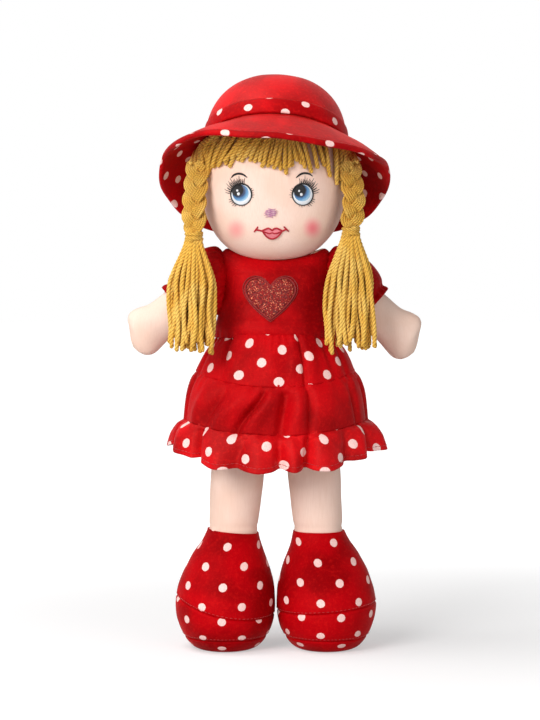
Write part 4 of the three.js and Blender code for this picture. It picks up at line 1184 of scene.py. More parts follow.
def embroider_nose_and_mouth():
    nose = lens("nose_stitches", "nose_thread", NOSE, (NOSE_HALF[0] - 0.3, NOSE_HALF[1] - 0.3), 0.25, 0.5)
    ride(nose, "head", "pink_thread", "nose")
    slants = []
    for k in range(9):
        share = (k + 0.5) / 9 * 2 - 1
        half = NOSE_HALF[0] * math.sqrt(1 - share * share) * (1.12 if k % 2 else 0.9)
        z = NOSE[1] + share * NOSE_HALF[1]
        lean = 0.9 if k % 2 else -0.5
        ends = ((NOSE[0] - half, z - lean), (NOSE[0], z + 0.1), (NOSE[0] + half, z + lean))
        slants.append(thread(on_face(ends, 1.0), 8, (0.7, 1.0, 0.7)))
    scribble = tubes("nose_thread_lines", slants, 0.26, "nose_line_thread")
    ride(scribble, "head", "pink_thread")
    rim = curve_through([Vector((x, 0, z)) for x, z in LIPS], 96, closed=True)

    def lips_at(u, v):
        where = inside(rim, LIPS_MIDDLE, u, v)
        return head_point(where.x, where.z, 0.35 + 0.55 * (1 - v**3) - 0.3 * past(v, PATCH_RIM))

    lips = surface("lip_stitches", "lip_thread", (96, 10), lips_at, patch_cloth)
    ride(lips, "head", "wine_thread", "mouth")
    strands = [same_width([head_point(where.x, where.z, 0.5) for where in (*rim, *rim[:2])])]
    strands.append(thread(on_face(LIP_LINE, 0.75), 30, (0.5, 0.9, 0.9, 0.8, 0.9, 0.9, 0.5)))
    for name, _ in SIDES:
        strands.append(thread(on_face(SMILE[name], 0.45), 16, (1.0, 1.0, 0.9)))
        strands.append(thread(on_face(SMILE_TICKS[name], 0.5), 10, (0.7, 1.1, 0.7)))
    lines = tubes("mouth_outline", strands, 0.62, "mouth_thread", corners=8)
    ride(lines, "head", "wine_thread")


def yarn_tubes(name, strands):
    looks = bpy.context.scene.rag_doll
    radius, twist = looks.yarn_thickness / 2 / MM, looks.yarn_twist / MM
    return tubes(name, strands, radius, "hair_yarn", PLIES, twist, corners=12)


def lay_fringe():
    """Strands over the brow, and strands that run back from it to each plait."""
    chance = random.Random(11)
    strands = []
    count = bpy.context.scene.rag_doll.fringe_strands
    for k in range(count):
        tip_x = mix(-46.5, 46.5, k / (count - 1)) + chance.uniform(-0.9, 0.9)
        tip_z, root_x = read_rows(FRINGE_TIPS, tip_x)
        tip_z += chance.uniform(-1.8, 1.8) + 2.5 * (k % 2)
        bend = chance.uniform(-1.6, 1.6)
        points = []
        for step, low, high in FRINGE_LIFTS:
            x = mix(root_x, tip_x, step**1.05) + bend * math.sin(math.pi * step)
            lift = (high if k % 2 else low) + chance.uniform(-0.15, 0.25)
            points.append(head_point(x, mix(367, tip_z, step), lift))
        strands.append(strand(points, 1.25))
    for name, side in SIDES:
        top = Vector(BRAID_LINES[name][0])
        for k in range(11):
            share = k / 10
            over = k % 2 * 1.8
            start = head_point(side * mix(26, 41.5, share) + HEAD_ASIDE, mix(366, 352.5, share), 1.4)
            start.y += share * 4
            second = head_point(side * mix(34, 47, share) + HEAD_ASIDE, mix(358, 351, share), 2.6 + over)
            third = head_point(side * mix(42, 48.2, share) + HEAD_ASIDE, mix(349, 345, share), 3.2 + over)
            third.x += 2.4 * share * side
            end = Vector((side * mix(-6.5, 6.5, share), mix(-3.5, 2.0, k % 3 / 2), mix(-4, 0, k % 2)))
            strands.append(strand([start, second, third, top + end], 1.3))
    fringe = yarn_tubes("fringe_yarn", tucked(strands))
    ride(fringe, "head", "yarn", "fringe")


def lay_back_hair():
    """Strands from the parting down the middle of the back, drawn forwards to each plait."""
    chance = random.Random(5)
    count = 21
    for name, side in SIDES:
        strands = []
        for k in range(count):
            share = k / (count - 1)
            points = []
            for step in range(9):
                along = step / 8
                turn = math.pi - side * mix(0.02, 1.86, along)
                rise = mix(mix(0.04, -0.8, share), mix(0.3, -0.02, share), along**1.3)
                rise -= 0.06 * math.sin(math.pi * along)
                lift = 2.1 + k % 2 * 0.35 + chance.uniform(0, 0.2)
                points.append(head_direction(turn, rise, lift))
            strands.append(strand(points, 1.9, root=True))
        hair = yarn_tubes(f"{name}_back_hair_yarn", tucked(strands))
        ride(hair, "head", "yarn", "back_hair")


def plait_braids():
    for name, side in SIDES:
        line = curve_through(BRAID_LINES[name], BRAID_STEPS + 1)
        plait_locks(name, side, line)
        tie_braid(name, line[-1])
        lay_tassel(name, side, line[-1])


def plait_locks(name, side, line):
    """Three locks that cross, each of two layers of thin strands."""
    looks = bpy.context.scene.rag_doll
    length = sum((b - a).length for a, b in zip(line, line[1:]))
    facing = Matrix.Rotation(side * math.radians(18), 3, "Z")
    swing = LOCK_SWINGS[name]

    def lock_at(lock, share):
        phase = share * length / looks.braid_pitch * MM * FULL_TURN * side + lock * FULL_TURN / LOCKS + 0.9
        draw = 1 - 0.6 * smooth((share - 0.86) / 0.13)
        aside = facing @ Vector((swing * math.sin(phase), 2.8 * math.sin(2 * phase) * side, 0))
        return along_line(line, share) + aside * draw, draw

    strands = []
    near = 0.012
    for lock, across, deep in product(range(LOCKS), (-3.0, -1.5, 0.0, 1.5, 3.0), (-0.8, 0.8)):
        points = []
        for step in range(BRAID_STEPS + 1):
            share = step / BRAID_STEPS
            here, draw = lock_at(lock, share)
            way = (lock_at(lock, share + near)[0] - lock_at(lock, share - near)[0]).normalized()
            aside = way.cross(facing @ Vector((0, 1, 0))).normalized()
            out = aside.cross(way).normalized()
            sunk = deep * (1 - 0.45 * (across / 3.0) ** 2)
            points.append(here + (aside * across + out * sunk) * draw)
        strands.append(same_width(points))
    braid = tubes(f"{name}_braid_yarn", strands, 0.8, "hair_yarn", PLIES, twist=6.0, corners=9)
    ride(braid, f"{name}_plait", "yarn", f"{name}_braid")


def tie_braid(name, middle):
    """Yarn wound round the end of a plait."""
    turns, per_turn = 4, 26
    loop = []
    for k in range(turns * per_turn + 1):
        turn = k / per_turn * FULL_TURN
        radius = 5.1 + 0.35 * math.sin(turn * 0.37)
        loop.append(middle + ring(radius, radius * 0.92, turn, mix(2.4, -3.2, k / turns / per_turn)))
    ends = [0.3, 0.8] + [1.0] * (len(loop) - 4) + [0.8, 0.3]
    tie = tubes(f"{name}_braid_tie_yarn", [(loop, ends)], 1.15, "hair_yarn", PLIES, twist=7, corners=9)
    ride(tie, f"{name}_plait", "yarn", f"{name}_braid_tie")


def lay_tassel(name, side, tie_at):
    """Loose strands below the tie, spread evenly over the tassel's section."""
    chance = random.Random(23 if side > 0 else 31)
    foot = Vector(TASSEL_FEET[name])
    count = bpy.context.scene.rag_doll.tassel_strands
    strands = []
    for k in range(count):
        out = math.sqrt((k + 0.5) / count)
        turn = k * GOLDEN_TURN + chance.uniform(-0.15, 0.15)
        inwards = -side * math.cos(turn) * out
        low = foot.z + chance.uniform(-3.0, 8.5) - 2.5 * inwards
        swing = chance.uniform(-1.0, 1.0)
        sway = chance.uniform(-1.0, 1.0)
        waves = chance.uniform(5.0, 10.0)
        points = []
        for share in TASSEL_SHARES:
            spread = out * mix(0.26, 1.0, smooth((share + 0.02) / 0.5) * 0.84 + 0.16 * share)
            where = tie_at.lerp(foot, share)
            waver = math.sin(share * waves + swing * 3) * 1.7 * share
            where.x += TASSEL_HALF[0] * spread * math.cos(turn) + waver + 1.8 * swing * share
            where.y += TASSEL_HALF[1] * spread * math.sin(turn) + sway * share
            where.z = mix(tie_at.z + 1, low, share)
            points.append(where)
        strands.append(strand(points, 1.5))
    tassel = yarn_tubes(f"{name}_tassel_yarn", strands)
    ride(tassel, f"{name}_plait", "yarn", f"{name}_tassel")


def sew_hat():
    wall = bpy.context.scene.rag_doll.velour_thickness / MM

    def crown_at(u, v):
        turn = u * FULL_TURN
        slack = 0.45 * rough(math.sin(turn) * 1.6, math.cos(turn) * 1.6, v * 2.4)
        return crown_point(turn, v * math.pi / 2, slack - 0.5 * bump_of(v, 0.03))

    def flat(round_it, along):
        """The cloth, with the front at its middle."""
        return lambda u, v: ((u - 0.5) * round_it, v * along)

    crown = surface("hat_crown_cloth", "hat_velour", (120, 40), crown_at, flat(HAT_ROUND, 78))
    thicken(crown, wall)
    ride(crown, "head", "red_velour", "hat_crown")

    def band_at(u, v):
        turn = turn_at(u)
        puff = 0.7 + 0.5 * math.sin(math.pi * v) ** 0.5 - 0.5 * past(v, 0.9)
        rise = v * math.asin(BAND_WIDTH / CROWN_RADIUS)
        return crown_point(turn, rise, puff + 0.25 * rough(turn * 3, v, 7))

    band = surface("hat_band_cloth", "band_velour", (140, 8), band_at, flat(HAT_ROUND, BAND_WIDTH))
    thicken(band, 1.0)
    ride(band, "head", "dotted_velour", "hat_band")

    def brim_at(u, v):
        turn = turn_at(u)
        reach = v * BRIM_WIDTH
        groove = 0.8 * bump_of(reach - 3.2, 1.1) + 0.35 * bump_of(reach - 36.0, 0.9)
        return brim_point(turn, reach, groove + 0.35 * rough(turn * 6, v * 2, 3))

    brim_flat = flat(BRIM_ROUND, BRIM_WIDTH)
    brim = surface("hat_brim_cloth", "hat_velour", (180, 36), brim_at, brim_flat, flip=True)
    thicken(brim, wall)
    ride(brim, "head", "red_velour", "hat_brim")

    def lining_at(u, v):
        """Under the brim, then round its edge and a little way back over the top."""
        turn = turn_at(u)
        edge = BRIM_WIDTH - 0.4
        if v < LINING_ROLL:
            return brim_point(turn, mix(2.0, edge, v / LINING_ROLL), 3.1 + 0.3 * rough(turn * 9, v * 3, 1))
        rolled = past(v, LINING_ROLL)
        reach = edge + 2.0 * math.sin(min(rolled, 0.5) * math.pi) - 3.4 * max(0.0, rolled * 2 - 1)
        return brim_point(turn, reach, 1.15 + 1.95 * math.cos(rolled * math.pi))

    lining = surface("hat_lining_cloth", "lining_velour", (180, 44), lining_at, flat(BRIM_ROUND, 48))
    thicken(lining, 0.9)
    ride(lining, "head", "dotted_velour", "hat_brim_lining")

    line = [brim_point(turn, 36.4, -0.05) for turn in turns_round(540)]
    seam = tubes("hat_brim_stitches", stitches(line, 1.9, 0.9), 0.26, "hem_thread")
    ride(seam, "head", "red_velour")


def stuff_torso():
    def torso_at(u, v):
        return torso_point(turn_at(u), mix(TORSO_SHARES[0][0], TORSO_SHARES[-1][0], v), 0)

    def torso_cloth(u, v):
        return u * 240, v * 95

    torso = surface("torso_cloth", "limb_cloth", (72, 60), torso_at, torso_cloth, closed=True)
    ride(torso, "torso", "skin_cloth", "torso_skin", "torso_filling")


def sew_bodice():
    foot = torso_share(WAIST_HEIGHT - 0.6)

    def bodice_at(u, v):
        turn = turn_at(u)
        where = torso_point(turn, mix(foot, 1.028, v), BODICE_ROOM)
        lie = 0.55 * rough(where.x * 0.05, where.y * 0.05, where.z * 0.13)
        lie += 0.35 * rough(where.x * 0.16, where.y * 0.16, where.z * 0.05 + 9)
        lie += 0.4 * math.sin(46 * turn + 4 * math.sin(3 * turn)) * bump_of(v, 0.08)
        lie += 0.9 * bump_of(v - 0.1, 0.07)
        lie -= 0.7 * bump_of(where.z - (262 + 0.06 * where.x), 2.0) * bump_of(where.x + 14, 14)
        lie -= 0.6 * bump_of(where.z - 228.5, 1.6) * bump_of(where.x - 6, 30)
        return where + Vector((where.x, where.y * 1.6, 0)).normalized() * lie

    def bodice_cloth(u, v):
        return (u - 0.5) * 240, v * 62

    bodice = surface("bodice_cloth", "dress_velour", (170, 72), bodice_at, bodice_cloth)
    thicken(bodice, bpy.context.scene.rag_doll.velour_thickness / MM)
    ride(bodice, "torso", "red_velour", "bodice")


def sew_heart():
    """A patch of glitter cloth on the bodice, with two lines of thread round it."""
    across, up = HEART_FOOT
    one = [(across + x, 0, up + z) for x, z in HEART]
    other = [(across - x, 0, up + z) for x, z in reversed(HEART)]
    rim = curve_through(one, 49)[:-1] + curve_through(other, 49)[:-1]
    middle = Vector((across, 0, up + HEART_MIDDLE))

    def patch_at(u, v):
        return bodice_front(inside(rim, middle, u, v), 1.15 + 0.35 * (1 - v**4) - past(v, 0.94))

    patch = surface("heart_patch_cloth", "heart_glitter", (96, 24), patch_at)
    ride(patch, "torso", "glitter_cloth", "heart_patch")
    strands = []
    for grow, lift, share in ((1.02, 0.9, 1.0), (1.115, 0.35, 0.62)):
        edge = [bodice_front(middle.lerp(where, grow), lift) for where in (*rim, *rim[:2])]
        strands.append(same_width(edge, share))
    outline = tubes("heart_outline", strands, 0.62, "heart_thread", corners=6)
    ride(outline, "torso", "wine_thread")


def sew_sleeves():
    line = curve_through(SLEEVE_LINE, 41)
    for name, side in SIDES:

        def sleeve_at(u, v):
            turn = u * FULL_TURN
            centre = along_line(line, v)
            lean = math.radians(43) * smooth(v / 0.75)
            root = 1 - 0.4 * (1 - smooth(v / 0.16))
            puff = 4.6 * math.sin(math.pi * v**0.8)
            cuff = -1.5 * bump_of(v - 0.88, 0.05) + 1.2 * smooth((v - 0.9) / 0.1)
            gathers = 0.75 * math.cos(19 * turn + 2 * math.sin(3 * turn))
            gathers *= bump_of(v - 0.1, 0.16) + bump_of(v - 0.97, 0.12)
            slack = 1.1 * rough(math.sin(turn) * 1.3, math.cos(turn) * 1.3, v * 2.6 + side * 3)
            high = mix(18.6, 14.4, v) * root + puff + cuff + gathers + slack
            deep = mix(15.6, 14.0, v) * root + 0.7 * puff + cuff + gathers + 0.7 * slack
            up = high * math.cos(turn)
            x = side * (centre.x + up * math.sin(lean))
            z = centre.z + up * math.cos(lean) - UNDER_CHEEK[name] * (1 - smooth((v - 0.3) / 0.4))
            return Vector((x, -deep * math.sin(turn) * side, z))

        def sleeve_cloth(u, v):
            return u * 110, v * 40

        sleeve = surface(
            f"{name}_sleeve_cloth", "dress_velour", (120, 44), sleeve_at, sleeve_cloth, flip=side < 0
        )
        thicken(sleeve, bpy.context.scene.rag_doll.velour_thickness / MM)
        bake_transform(sleeve)
        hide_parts(f"{name}_sleeve")


def stuff_arms():
    for name, side in SIDES:

        def arm_at(u, v):
            where = arm_point(u * FULL_TURN, v, side)
            lump = 0.8 * rough(where.x * 0.07, where.y * 0.09, where.z * 0.07)
            where.y += math.copysign(1, where.y) * lump * min(1, abs(where.y) / 4)
            return where

        def arm_cloth(u, v):
            return u * 80, v * 85

        arm = surface(f"{name}_arm_cloth", "limb_cloth", (64, 72), arm_at, arm_cloth, closed=True)
        ride(arm, f"{name}_arm", "skin_cloth", f"{name}_arm_skin", f"{name}_arm_filling")


def stuff_legs():
    low, high = LEG_ROWS[0][0], LEG_ROWS[-1][0]
    for name, side in SIDES:

        def leg_at(u, v):
            height = mix(low, high, v)
            wide, deep, aside = read_rows(LEG_ROWS, height)
            if v == 0:
                return Vector((side * aside, 0, low - 0.5))
            turn = turn_at(u)
            where = Vector((side * aside + wide * math.sin(turn), -deep * math.cos(turn), height))
            lump = 0.5 * rough(where.x * 0.06, where.y * 0.06, height * 0.05)
            lump -= 0.5 * bump_of(height - 84, 1.6)
            out = where - Vector((side * aside, 0, height))
            return where if out.length < 2 else where + out.normalized() * lump

        def leg_cloth(u, v):
            return u * 112, v * 105

        leg = surface(f"{name}_leg_cloth", "limb_cloth", (64, 72), leg_at, leg_cloth, closed=True)
        ride(leg, f"{name}_leg", "skin_cloth", f"{name}_leg_skin", f"{name}_leg_filling")


def sew_boots():
    for name, side in SIDES:

        def boot_at(turn, height):
            """The cloth is drawn in along each seam, and uneven elsewhere."""
            where = boot_point(turn, height, side)
            wide, deep, aside, forward = read_rows(BOOT_ROWS, height)
            out = where - Vector((side * aside, -forward, height))
            if out.length < 3:
                return where
            lie = 0.45 * rough(where.x * 0.08, where.y * 0.08, height * 0.08) * smooth(height / 8)
            lie -= 0.9 * bump_of(height - toe_seam(turn, side), 0.9)
            lie -= 0.8 * bump_of(height - SOLE_SEAM, 0.8)
            return where + out.normalized() * lie

        def turned_in(turn, height, share, drop=0.0):
            """The edge of a piece, turned inwards by a share of its seam's allowance."""
            inner = boot_point(turn, height, side, -BOOT_ALLOWANCE) - Vector((0, 0, drop))
            return boot_at(turn, height).lerp(inner, share)

        def boot_piece(part, low, high):
            """A band of the boot between two heights, with its edges turned in."""

            def piece_at(u, v):
                turn = turn_at(u)
                if v < BOOT_EDGE:
                    return turned_in(turn, low(turn), 1 - v / BOOT_EDGE)
                if v > 1 - BOOT_EDGE:
                    return turned_in(turn, high(turn), past(v, 1 - BOOT_EDGE), 0.8)
                share = (v - BOOT_EDGE) / (1 - 2 * BOOT_EDGE)
                return boot_at(turn, mix(low(turn), high(turn), share))

            def piece_cloth(u, v):
                turn = turn_at(u)
                height = mix(low(turn), high(turn), v)
                wide = max(12.0, read_rows(BOOT_ROWS, height)[0])
                bottom = min(0.0, wide - 31.8) if height < 15 else 0.0
                front = max(-1.3, min(1.3, turn))
                return front * wide * 1.06 + (turn - front) * 27, height + bottom

            finish = f"{name}_boot_velour"
            made = surface(f"{name}_boot_{part}_cloth", finish, (96, 50), piece_at, piece_cloth)
            ride(made, f"{name}_leg", "dotted_velour", f"{name}_boot_{part}")

        def seam_height(turn):
            return toe_seam(turn, side)

        def top_height(turn):
            return BOOT_TOP - ANKLE_TILTS[name] * math.sin(turn)

        def sole_height(turn):
            return SOLE_SEAM

        boot_piece("upper", seam_height, top_height)
        boot_piece("toe_band", sole_height, seam_height)

        def sole_at(u, v):
            turn = turn_at(u)
            if v > 1 - BOOT_EDGE:
                return turned_in(turn, SOLE_SEAM, past(v, 1 - BOOT_EDGE))
            if v < 0.48:
                wide = min(1.0, v / 0.46875)
                where = Vector((side * 34.7, -13, 0)).lerp(boot_point(turn, 0.5, side), wide)
                where.z = 0.5 * wide**6
                return where
            return boot_at(turn, mix(0.56, SOLE_SEAM, (v - 0.5) / 0.46))

        def sole_cloth(u, v):
            if v < 0.48:
                where = sole_at(u, v)
                return where.x, -where.y
            return turn_at(u) * 26, (v - 1) * 30 + SOLE_SEAM

        sole = surface(f"{name}_boot_sole_cloth", f"{name}_boot_velour", (96, 32), sole_at, sole_cloth)
        ride(sole, f"{name}_leg", "dotted_velour", f"{name}_boot_sole")

        strands = []
        for height_at in (seam_height, sole_height):
            line = [boot_point(turn, height_at(turn) + 1.5, side, 0.15) for turn in turns_round(360)]
            strands += stitches(line, 1.3, 1.3)
        seam = tubes(f"{name}_boot_stitches", strands, 0.16, "seam_thread")
        ride(seam, f"{name}_leg", "pink_thread")


def sew_skirt():
    for tier, upper, lower, start_in, bulge, finish, slot, width, rows in TIERS:
        for name, side in SIDES:
            extra = FLAP / upper[2]

            def tier_at(u, v):
                turn = mix(-extra, math.pi + extra, u)
                over = max(0.0, -turn, turn - math.pi) / extra
                share = mix(-0.06, 1.0, v)
                tuck = start_in * (1 - smooth(share / 0.12)) - 0.6 * smooth(over)
                return skirt_point(tier, upper, lower, turn * side, share, tuck, bulge)

            def tier_cloth(u, v):
                turn = mix(-extra, math.pi + extra, u) * side
                hidden = 7.0 * smooth((turn - 0.37) / 0.06) if tier == "skirt_upper_tier" else 0.0
                return turn * mix(upper[2], lower[2], 0.55) + hidden, tier_at(u, v).z

            half = surface(f"{tier}_{name}_half", finish, (200, rows), tier_at, tier_cloth, flip=side > 0)
            thicken(half, SKIRT_THICKNESS)
            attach(half, "torso")
            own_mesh(half)
            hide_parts(tier)

    for name, side in SIDES:
        line = []
        for k in range(401):
            turn = k / 400 * math.pi * side
            line.append(skirt_point("skirt_ruffle", RUFFLE_EDGE, HEM_EDGE, turn, 0.86, 0.1, 1.0))
        hem = tubes(f"skirt_hem_stitches_{name}_half", stitches(line, 2.0, 1.0), 0.24, "hem_thread")
        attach(hem, "torso")
        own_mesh(hem)


def set_stage():
    looks = bpy.context.scene.rag_doll
    bm = bmesh.new()
    bmesh.ops.create_grid(bm, x_segments=2, y_segments=2, size=6.0)
    mesh = bpy.data.meshes.new("floor")
    bm.to_mesh(mesh)
    bm.free()
    floor = bpy.data.objects.new("floor", mesh)
    bpy.context.scene.collection.objects.link(floor)
    mesh.materials.append(material("white_floor"))

    world = bpy.data.worlds.new("studio")
    bpy.context.scene.world = world
    world.use_nodes = True
    tree = world.node_tree
    tree.nodes.clear()
    out = add(tree, "ShaderNodeOutputWorld")
    seen = seen_by_eye(tree)
    around = add(tree, "ShaderNodeBackground", {"Color": (1, 1, 1, 1), "Strength": looks.room_light})
    behind = add(tree, "ShaderNodeBackground", {"Color": (1, 1, 1, 1), "Strength": 1.0})
    pick = add(tree, "ShaderNodeMixShader", {0: seen, 1: around.outputs[0], 2: behind.outputs[0]})
    tree.links.new(pick.outputs[0], out.inputs["Surface"])

    # Each lamp's place, size and share of the key lamp's power.
    lamps = (
        ("key_lamp", (-0.85, -1.35, 0.85), 0.8, 1.0),
        ("fill_lamp", (1.1, -1.4, 0.5), 1.2, 0.34),
        ("top_lamp", (-0.6, -0.15, 1.5), 0.8, 0.46),
    )
    for name, place, size, share in lamps:
        lamp = bpy.data.lights.new(name, "AREA")
        lamp.shape = "SQUARE"
        lamp.size = size
        lamp.energy = looks.key_light * share
        aim_at(bpy.data.objects.new(name, lamp), Vector(place), Vector((0, 0, 0.2)))

    lens_data = bpy.data.cameras.new("camera")
    lens_data.sensor_fit = "VERTICAL"
    lens_data.sensor_height = 24
    lens_data.lens = lens_data.sensor_height * CAMERA_DISTANCE / SEEN_HEIGHT
    camera = bpy.data.objects.new("camera", lens_data)
    rise = math.radians(looks.camera_rise)
    back = Vector((0, -CAMERA_DISTANCE * math.cos(rise), CAMERA_DISTANCE * math.sin(rise)))
    aim_at(camera, CAMERA_AIM + back, CAMERA_AIM)
    bpy.context.scene.camera = camera
    bpy.context.scene.view_settings.view_transform = "Standard"


def aim_at(made, place, target):
    """Puts a lamp or a camera in the scene, turned towards a point."""
    made.location = place
    made.rotation_euler = (target - place).to_track_quat("-Z", "Y").to_euler()
    bpy.context.scene.collection.objects.link(made)


# The add-on


def length_property(name, description, default):
    kind = {"subtype": "DISTANCE", "unit": "LENGTH"}
    return FloatProperty(name=name, description=description, default=default, min=0, **kind)


def colour_property(name, description, default):
    shown = tuple(c / 255 for c in default)
    kind = {"size": 3, "min": 0, "max": 1, "subtype": "COLOR_GAMMA"}
    return FloatVectorProperty(name=name, description=description, default=shown, **kind)


class RagDollSettings(bpy.types.PropertyGroup):
    """Sizes and colours of the doll's cloth, yarn and thread."""

    yarn_thickness: length_property("Yarn thickness", "Across one strand of hair yarn", 0.0030)
    yarn_twist: length_property("Yarn twist", "Length in which the plies turn once", 0.0085)
    braid_pitch: length_property("Braid pitch", "Length in which a lock crosses and comes back", 0.034)
    velour_thickness: length_property("Velour thickness", "Thickness of the dress and hat cloth", 0.0014)
    fringe_strands: IntProperty(
        name="Fringe strands", description="Strands over the brow", default=46, min=5
    )
    tassel_strands: IntProperty(
        name="Tassel strands", description="Loose ends of each plait", default=42, min=8
    )
    # velour_shade and velour_light are shaded and lit copies of the red: painted shade and painted
    # highlight in the pile's patches.
    velour_red: colour_property("Velour", "Dress, hat and boots", (204, 2, 15))
    velour_shade: colour_property(
        "Velour, brushed down", "Where the pile lies away from the light", (158, 0, 8)
    )
    velour_light: colour_property("Velour, brushed up", "Where the pile catches the light", (246, 30, 26))
    dot_pink: colour_property("Dots", "Printed dots", (253, 218, 211))
    # dot_shade is painted shade in the gaps of the dots' pile.
    dot_shade: colour_property("Dots, shade", "Gaps in the dots' pile", (244, 190, 184))
    skin_cloth: colour_property("Skin cloth", "Face, arms and legs", (250, 220, 204))
    skin_warm: colour_property("Skin cloth, warm", "Slight variation of the skin cloth", (246, 211, 192))
    # skin_shade is painted shade between the knit's ribs.
    skin_shade: colour_property("Skin cloth, ribs", "Between the knit's ribs", (234, 197, 176))
    blush_pink: colour_property("Blush", "Cheeks", (243, 112, 126))
    # yarn_light is a lit copy of the gold, part painted highlight; yarn_shade is painted shade in the
    # grooves.
    yarn_gold: colour_property("Yarn", "Hair", (233, 182, 76))
    yarn_light: colour_property("Yarn, light", "Raised fibres", (252, 217, 122))
    yarn_shade: colour_property("Yarn, grooves", "Between the plies", (158, 100, 34))
    thread_white: colour_property("White thread", "Eyes", (244, 247, 250))
    thread_black: colour_property("Black thread", "Pupils, lashes and brows", (9, 9, 12))
    iris_dark: colour_property("Iris, dark", "Beside the pupil", (30, 48, 84))
    iris_blue: colour_property("Iris, blue", "Middle of the iris", (84, 138, 186))
    iris_light: colour_property("Iris, light", "Rim of the iris", (160, 198, 222))
    thread_nose: colour_property("Nose thread", "Nose", (244, 206, 212))
    thread_nose_line: colour_property("Nose thread, lines", "Stitches over the nose", (218, 150, 190))
    thread_lip: colour_property("Lip thread", "Lips", (250, 142, 152))
    thread_wine: colour_property("Wine thread", "Lines of the mouth", (190, 16, 40))
    thread_heart: colour_property("Heart thread", "Round the heart", (150, 24, 22))
    thread_seam: colour_property("Seam thread", "Stitches on the boots", (206, 60, 62))
    thread_hem: colour_property("Hem thread", "Stitches along the hem and the brim", (190, 18, 22))
    glitter_dark: colour_property("Glitter, dark", "Ground of the heart", (92, 3, 5))
    glitter_copper: colour_property("Glitter, copper", "Most flakes", (164, 30, 24))
    glitter_bright: colour_property("Glitter, bright", "Flakes that catch the light", (248, 140, 104))
    key_light: FloatProperty(
        name="Key lamp", description="Power of the main lamp", default=22.2, min=0, unit="POWER"
    )
    room_light: FloatProperty(name="Room light", description="Light from all round", default=0.26, min=0)
    floor_glow: FloatProperty(
        name="Floor glow", description="Whitens the floor where it is seen", default=0.43, min=0
    )
    camera_rise: FloatProperty(name="Camera rise", description="Degrees above level", default=3.0)


class RAGDOLL_OT_head(bpy.types.Operator):
    """Stuffs the head and the neck"""

    bl_idname = "rag_doll.head"
    bl_label = "Head"

    def execute(self, context):
        sew_head()
        return {"FINISHED"}


class RAGDOLL_OT_eyes(bpy.types.Operator):
    """Embroiders the eyes, lashes and brows"""

    bl_idname = "rag_doll.eyes"
    bl_label = "Eyes"

    def execute(self, context):
        embroider_eyes()
        return {"FINISHED"}


class RAGDOLL_OT_mouth(bpy.types.Operator):
    """Embroiders the nose and the mouth"""

    bl_idname = "rag_doll.mouth"
    bl_label = "Nose and mouth"

    def execute(self, context):
        embroider_nose_and_mouth()
        return {"FINISHED"}


class RAGDOLL_OT_fringe(bpy.types.Operator):
    """Lays the fringe's yarn"""

    bl_idname = "rag_doll.fringe"
    bl_label = "Fringe"

    def execute(self, context):
        lay_fringe()
        return {"FINISHED"}


class RAGDOLL_OT_back_hair(bpy.types.Operator):
    """Lays the yarn over the back of the head"""

    bl_idname = "rag_doll.back_hair"
    bl_label = "Back hair"

    def execute(self, context):
        lay_back_hair()
        return {"FINISHED"}


class RAGDOLL_OT_plaits(bpy.types.Operator):
    """Plaits the braids and ties them, with a tassel below"""

    bl_idname = "rag_doll.plaits"
    bl_label = "Plaits"

    def execute(self, context):
        plait_braids()
        return {"FINISHED"}


class RAGDOLL_OT_hat(bpy.types.Operator):
    """Sews the hat's crown, band, brim and lining"""

    bl_idname = "rag_doll.hat"
    bl_label = "Hat"

    def execute(self, context):
        sew_hat()
        return {"FINISHED"}


class RAGDOLL_OT_torso(bpy.types.Operator):
    """Stuffs the torso"""

    bl_idname = "rag_doll.torso"
    bl_label = "Torso"

    def execute(self, context):
        stuff_torso()
        return {"FINISHED"}


class RAGDOLL_OT_bodice(bpy.types.Operator):
    """Sews the bodice and its heart"""

    bl_idname = "rag_doll.bodice"
    bl_label = "Bodice and heart"

    def execute(self, context):
        sew_bodice()
        sew_heart()
        return {"FINISHED"}


class RAGDOLL_OT_arms(bpy.types.Operator):
    """Stuffs the arms"""

    bl_idname = "rag_doll.arms"
    bl_label = "Arms"

    def execute(self, context):
        stuff_arms()
        return {"FINISHED"}


class RAGDOLL_OT_sleeves(bpy.types.Operator):
    """Sews the sleeves"""

    bl_idname = "rag_doll.sleeves"
    bl_label = "Sleeves"

    def execute(self, context):
        sew_sleeves()
        return {"FINISHED"}


class RAGDOLL_OT_legs(bpy.types.Operator):
    """Stuffs the legs"""

    bl_idname = "rag_doll.legs"
    bl_label = "Legs"

    def execute(self, context):
        stuff_legs()
        return {"FINISHED"}


class RAGDOLL_OT_boots(bpy.types.Operator):
    """Sews the boots, with stitched seams"""

    bl_idname = "rag_doll.boots"
    bl_label = "Boots"

    def execute(self, context):
        sew_boots()
        return {"FINISHED"}


class RAGDOLL_OT_skirt(bpy.types.Operator):
    """Sews the skirt's three tiers, each in two halves"""

    bl_idname = "rag_doll.skirt"
    bl_label = "Skirt"

    def execute(self, context):
        sew_skirt()
        return {"FINISHED"}


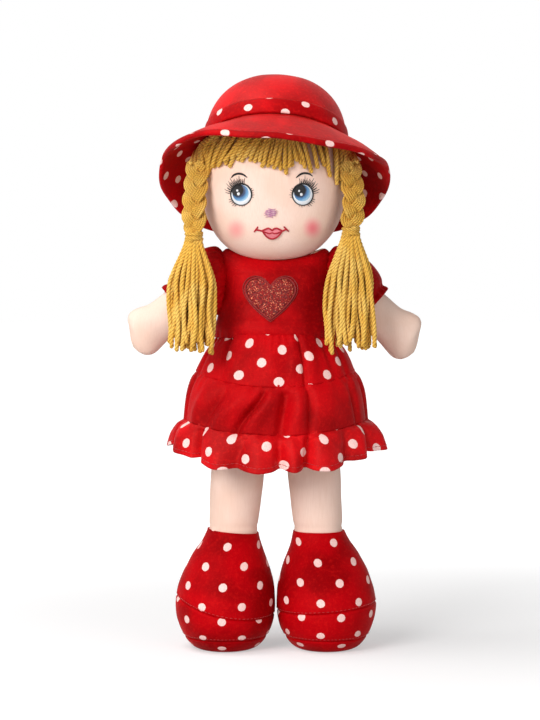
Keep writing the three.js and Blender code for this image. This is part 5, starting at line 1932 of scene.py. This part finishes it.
class RAGDOLL_OT_stage(bpy.types.Operator):
    """Sets the floor, the lamps and the camera"""

    bl_idname = "rag_doll.stage"
    bl_label = "Stage"

    def execute(self, context):
        set_stage()
        return {"FINISHED"}


OPERATORS = (
    RAGDOLL_OT_head,
    RAGDOLL_OT_eyes,
    RAGDOLL_OT_mouth,
    RAGDOLL_OT_fringe,
    RAGDOLL_OT_back_hair,
    RAGDOLL_OT_plaits,
    RAGDOLL_OT_hat,
    RAGDOLL_OT_torso,
    RAGDOLL_OT_bodice,
    RAGDOLL_OT_arms,
    RAGDOLL_OT_sleeves,
    RAGDOLL_OT_legs,
    RAGDOLL_OT_boots,
    RAGDOLL_OT_skirt,
    RAGDOLL_OT_stage,
)


class RAGDOLL_PT_panel(bpy.types.Panel):
    """The doll's sizes and colours, and a button for each group of pieces"""

    bl_idname = "RAGDOLL_PT_panel"
    bl_label = "Rag doll"
    bl_space_type = "VIEW_3D"
    bl_region_type = "UI"
    bl_category = "Rag doll"

    def draw(self, context):
        for name in RagDollSettings.__annotations__:
            self.layout.prop(context.scene.rag_doll, name)
        for operator in OPERATORS:
            self.layout.operator(operator.bl_idname)


CLASSES = (RagDollSettings, *OPERATORS, RAGDOLL_PT_panel)


def register():
    for one in CLASSES:
        bpy.utils.register_class(one)
    bpy.types.Scene.rag_doll = PointerProperty(type=RagDollSettings)


def unregister():
    del bpy.types.Scene.rag_doll
    for one in reversed(CLASSES):
        bpy.utils.unregister_class(one)


def main():
    register()
    bpy.ops.rag_doll.stage()
    bpy.ops.rag_doll.head()
    bpy.ops.rag_doll.eyes()
    bpy.ops.rag_doll.mouth()
    bpy.ops.rag_doll.fringe()
    bpy.ops.rag_doll.back_hair()
    bpy.ops.rag_doll.plaits()
    bpy.ops.rag_doll.hat()
    bpy.ops.rag_doll.torso()
    bpy.ops.rag_doll.bodice()
    bpy.ops.rag_doll.arms()
    bpy.ops.rag_doll.sleeves()
    bpy.ops.rag_doll.legs()
    bpy.ops.rag_doll.boots()
    bpy.ops.rag_doll.skirt()


if __name__ == "__main__":
    main()
